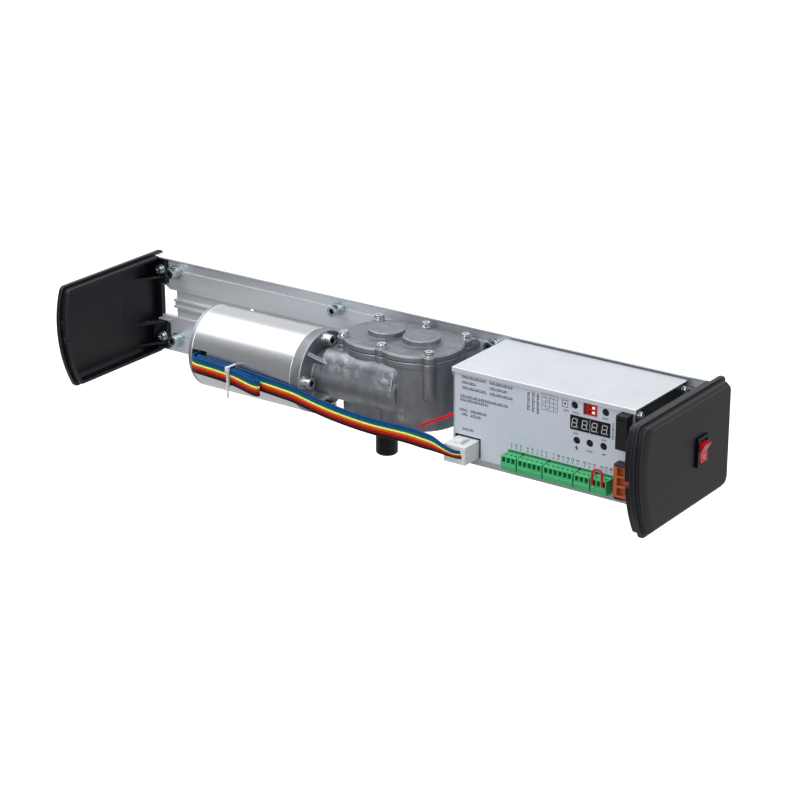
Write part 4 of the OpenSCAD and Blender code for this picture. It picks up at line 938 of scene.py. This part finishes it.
# %% [markdown]
# The green plugs take three to six wires each. Their poles are 3.81 mm apart, a common
# pitch, and the panel has a tick and a number above every pole. The same list of places
# serves the ticks, the numbers and the clamp screws.

# %% Poles and ticks
pole_pitch = 3.81
plug_wall = 0.45
plug_gap = 1.9
tick_w, tick_h, tick_z = 0.45, 1.7, 28.3
poles = []
plug_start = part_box("terminal_plugs")[0].x / MM
for count in (3, 5, 6, 3, 3):
    poles += [plug_start + plug_wall + pole_pitch * (k + 0.5) for k in range(count)]
    plug_start += count * pole_pitch + plug_gap
ink_rules += [(x, tick_z, tick_w, tick_h) for x in poles]
panel_rules = plates("panel_rules", ink_rules, panel_front, ink)
settle(panel_rules, "root", slot_of["front_panel"])
print("rules:", len(ink_rules), "poles:", len(poles), "last pole:", round(poles[-1], 1))

# %% [markdown]
# A number is a text object, which is turned into a mesh before it is put in its place.
# It is extruded to the thickness of the ink and made a little bolder by its offset.

# %% Pole numbers
number_z, number_size, number_bold = 30.6, 2.5, 0.07
number_y = panel_front - ink_mm / 2 * MM
numbers = []
for k, x in enumerate(poles):
    bpy.ops.object.text_add(location=(x * MM, number_y, number_z * MM), rotation=(math.pi / 2, 0, 0))
    number = bpy.context.object
    number.data.body = str(k + 1)
    number.data.size = number_size * MM
    number.data.align_x = "CENTER"
    number.data.align_y = "CENTER"
    number.data.extrude = ink_mm / 2 * MM
    number.data.offset = number_bold * MM
    number.data.materials.append(ink)
    select_only(number)
    bpy.ops.object.convert(target="MESH")
    numbers.append(number)
pole_numbers = join(numbers, "pole_numbers")
settle(pole_numbers, "root", slot_of["front_panel"])
print("number faces:", len(pole_numbers.data.polygons))

# %% [markdown]
# ## Digits of seven bars
#
# Each digit of the display is seven bars with pointed ends and a dot, leaning a little.
# A picture of digits would blur close up, so one bar is modelled from a six-sided disc
# that is pulled long, and the rest are copies.


# %% Pull and copy
def pull_ends(piece, length_mm):
    """Pulls the two ends of a disc apart until it is length_mm long in z."""
    half = max(v.co.z for v in piece.data.vertices)
    for v in piece.data.vertices:
        v.co.z += math.copysign(length_mm * MM / 2 - half, v.co.z)


def placed_copy(piece, name, place_mm, turn=(0, 0, 0)):
    """A copy with its own mesh, at a place in mm and turned about x, y and z."""
    made = bpy.data.objects.new(name, piece.data.copy())
    bpy.context.scene.collection.objects.link(made)
    made.location = Vector(place_mm) * MM
    made.rotation_euler = turn
    return made


# %% Bars
bar_t, bar_gap = 0.62, 0.2
digit_w, digit_h = 3.7, 6.1
corner_r = bar_t / 2 / math.cos(math.pi / 6)
bpy.ops.mesh.primitive_circle_add(vertices=6, radius=corner_r * MM, fill_type="NGON",
                                  rotation=(math.pi / 2, 0, 0))
bar = bpy.context.object
bpy.ops.object.transform_apply(rotation=True)
pull_ends(bar, digit_h / 2 - bar_gap)
bars = [placed_copy(bar, "bar", (side * digit_w / 2, 0, up * digit_h / 4))
        for side in (-1, 1) for up in (-1, 1)]
long_bar = placed_copy(bar, "long_bar", (0, 0, 0))
pull_ends(long_bar, digit_w - bar_gap)
bars += [placed_copy(long_bar, "bar", (0, 0, up * digit_h / 2), (0, math.pi / 2, 0))
         for up in (-1, 0, 1)]
for pattern in (long_bar, bar):
    bpy.data.objects.remove(pattern)
print("bars:", len(bars))

# %% One digit with its dot
dot_r, dot_x = 0.45, 2.9
lean = math.tan(math.radians(8))
bpy.ops.mesh.primitive_circle_add(vertices=12, radius=dot_r * MM, fill_type="NGON",
                                  location=Vector((dot_x, 0, -digit_h / 2)) * MM,
                                  rotation=(math.pi / 2, 0, 0))
bars.append(bpy.context.object)
digit = join(bars, "digit")
bpy.ops.object.transform_apply(location=True, rotation=True, scale=True)
for v in digit.data.vertices:
    v.co.x += v.co.z * lean
digit.data.materials.clear()
digit.data.materials.append(segment_white)
print("digit faces:", len(digit.data.polygons))

# %% Four digits
digit_shift = -0.35
display_low, display_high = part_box("digit_display")
display_front = display_low.y
display_w = (display_high.x - display_low.x) / MM
display_x, _, display_z = (display_low + display_high) / 2 / MM
digits = []
for k in range(4):
    x = display_low.x / MM + display_w * (k + 0.5) / 4 + digit_shift
    digits.append(placed_copy(digit, f"digit_{k}", (x, 0, display_z)))
bpy.data.objects.remove(digit)
lit_bars = join(digits, "display_bars")
lit_bars.location.y = display_front
thicken(lit_bars)
settle(lit_bars, "root", slot_of["digit_display"])
print("bar faces:", len(lit_bars.data.polygons))

# %% Seam of the two blocks
seam_w, seam_h = 0.3, 9.6
seam = plates("display_seam", [(display_x, display_z, seam_w, seam_h)], display_front, segment_white)
settle(seam, "root", slot_of["digit_display"])
print("seam faces:", len(seam.data.polygons))

# %% [markdown]
# ## Screws in the terminal plugs
#
# Under each hole in the top of a plug sits a small slotted screw that clamps the wire.
# It is a short cylinder with a bevelled rim, and a Boolean modifier cuts the slot.

# %% One clamp screw
screw_r, screw_h, rim_mm = 1.15, 1.2, 0.12
slot_size = (0.36, 4, 1)
bpy.ops.mesh.primitive_cylinder_add(vertices=20, radius=screw_r * MM, depth=screw_h * MM,
                                    location=(0, 0, screw_h / 2 * MM))
clamp_screw = bpy.context.object
bpy.ops.mesh.primitive_cube_add(size=MM, location=(0, 0, screw_h * MM), scale=slot_size)
slot_cutter = bpy.context.object
modify(clamp_screw, "BEVEL", width=rim_mm * MM, segments=2)
modify(clamp_screw, "BOOLEAN", operation="DIFFERENCE", object=slot_cutter)
bpy.data.objects.remove(slot_cutter)
clamp_screw.data.materials.append(bright_zinc)
bpy.ops.object.transform_apply(location=True, rotation=True, scale=True)
print("screw faces:", len(clamp_screw.data.polygons))

# %% Twenty clamp screws
hole_y = -86.5
hole_depth = 2
hole_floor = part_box("terminal_plugs")[1].z / MM - hole_depth
turn_step = math.radians(23)
screws = [placed_copy(clamp_screw, f"clamp_screw_{k}", (x, hole_y, hole_floor), (0, 0, turn_step * k))
          for k, x in enumerate(poles)]
bpy.data.objects.remove(clamp_screw)
clamp_screws = join(screws, "clamp_screws")
settle(clamp_screws, "root", slot_of["terminal_headers"])
print("clamp screws:", len(screws))

# %% [markdown]
# ## The rocker switch
#
# The switch is a glossy black frame with a rocker of red see-through plastic in it. A
# clear plastic needs a real edge to glow, so the rocker gets a wide bevel of three
# segments. It turns on its own body, and all that is moulded on it rides there too.

# %% Dress the switch
dress("switch_body", gloss_black, 0.3)
rocker = dress("rocker_button", lens_red, 0.4, segments=3)
print("rocker faces:", len(rocker.data.polygons))

# %% [markdown]
# The two marks of a rocker are moulded in white: a ring on the lower half for off and a
# bar on the upper half for on. Each lies in its half's own slope.

# %% Ring and bar
mark_r = 0.16
ring_place, bar_place = Vector((260.55, -41, 38.2)), Vector((261.75, -41, 44.6))
lower_slope, upper_slope = math.radians(3.4), math.radians(-25.4)
bpy.ops.mesh.primitive_torus_add(major_radius=1.25 * MM, minor_radius=mark_r * MM, major_segments=32,
                                 minor_segments=8, location=ring_place * MM,
                                 rotation=(0, math.pi / 2 - lower_slope, 0))
ring = bpy.context.object
bpy.ops.mesh.primitive_cylinder_add(vertices=10, radius=mark_r * MM, depth=2.4 * MM,
                                    location=bar_place * MM, rotation=(0, -upper_slope, 0))
bar_mark = bpy.context.object
modify(bar_mark, "BEVEL", width=0.07 * MM, segments=2)
marks = join([ring, bar_mark], "rocker_marks")
marks.data.materials.clear()
marks.data.materials.append(mark_white)
settle(marks, "rocker", slot_of["rocker_button"])
print("mark faces:", len(marks.data.polygons))

# %% [markdown]
# ## The ribbon cable
#
# A ribbon is a row of round insulated wires that are welded side by side. Each wire is
# a curve along the same route, set off across the ribbon by one pitch, with a round
# bevel. The route is the one that the drawn cable follows, in millimetres: out of the
# can, folded back on itself twice under the tie, and on to the motor plug.

# %% The route of the ribbon
ribbon_width = 12.6
ribbon_route = [
    (-134.6, -96, 42.8), (-135.4, -100.5, 42.8), (-134.4, -105, 42.8), (-131, -107.4, 42.7),
    (-122, -107.7, 42.2), (-110, -107.3, 41.4), (-98, -107, 40.2), (-86, -107.2, 38.2),
    (-76, -107.4, 36.4), (-73, -106.8, 36), (-72, -105.6, 35.9), (-73, -104.5, 36),
    (-76, -104.1, 36.4), (-86, -104.2, 38.2), (-98, -104.3, 40.2), (-112, -104.4, 41.5),
    (-126, -104.6, 42.4), (-129.5, -104.2, 42.6), (-130.8, -103, 42.6), (-129.5, -101.9, 42.6),
    (-126, -101.5, 42.3), (-112, -101.4, 41.6), (-98, -101.5, 40.4), (-84, -101.4, 39.2),
    (-70, -101.3, 38), (-56, -101, 36.8), (-44, -100.4, 35.4), (-30, -99, 31.8), (-15, -98.5, 29),
    (0, -98.3, 27.2), (15, -98.2, 26), (30, -98.2, 25.6), (45, -98.4, 26),
]
wire_colours = ["#0B0A0C", "#5A130F", "#AE1A10", "#C8520F", "#E2E07A", "#0A5F47", "#00457C", "#003C6C"]
wire_pitch = ribbon_width / len(wire_colours)
print("wire pitch:", round(wire_pitch, 2), "mm")


# %% A wire along a route
def wire_curve(name, points, radius_mm, finish):
    """A round wire along points in millimetres, as a mesh."""
    curve = bpy.data.curves.new(name, "CURVE")
    curve.dimensions = "3D"
    curve.bevel_depth = radius_mm * MM
    curve.bevel_resolution = 3
    curve.resolution_u = 6
    curve.use_fill_caps = True
    spline = curve.splines.new("BEZIER")
    spline.bezier_points.add(len(points) - 1)
    for knot, point in zip(spline.bezier_points, points):
        knot.co = Vector(point) * MM
        knot.handle_left_type = "AUTO"
        knot.handle_right_type = "AUTO"
    curve.materials.append(finish)
    piece = bpy.data.objects.new(name, curve)
    bpy.context.scene.collection.objects.link(piece)
    select_only(piece)
    bpy.ops.object.convert(target="MESH")
    return piece


# %% [markdown]
# Near the plug the ribbon is split, and its wires spread and close again. Two lines, one
# below the lowest wire and one above the highest, say where they run, and each wire
# takes its own share of the way between them. Neighbours overlap by a few hundredths of
# a millimetre, because the insulation of a ribbon is welded.

# %% Eight wires
split_lines = [((58, -98.9, 20.6), (58, -98.9, 31.8)), ((69, -99.4, 20.2), (69, -99.4, 31.2)),
               ((78, -100, 20.4), (78, -100, 30.2)), ((86, -101.2, 20.6), (86, -101.6, 28)),
               ((92, -101.4, 20.3), (92, -102, 26)), ((98.5, -99.8, 19.4), (97.5, -100.8, 24.2)),
               ((101.5, -96.8, 18.6), (100, -96.8, 23))]
welded = 0.52
last_wire = len(wire_colours) - 1
wires = []
for k, colour in enumerate(wire_colours):
    insulation = moulded(f"wire_{k}_insulation", colour, 0.34, height_mm=0.003, Specular_IOR_Level=0.16)
    points = [(x, y, z + (k - last_wire / 2) * wire_pitch) for x, y, z in ribbon_route]
    points += [Vector(low).lerp(Vector(high), k / last_wire) for low, high in split_lines]
    wires.append(wire_curve(f"ribbon_wire_{k}", points, wire_pitch * welded, insulation))
ribbon = join(wires, "ribbon_wires")
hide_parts("ribbon_cable")
settle(ribbon, "root", slot_of["ribbon_cable"])
print("ribbon faces:", len(ribbon.data.polygons))
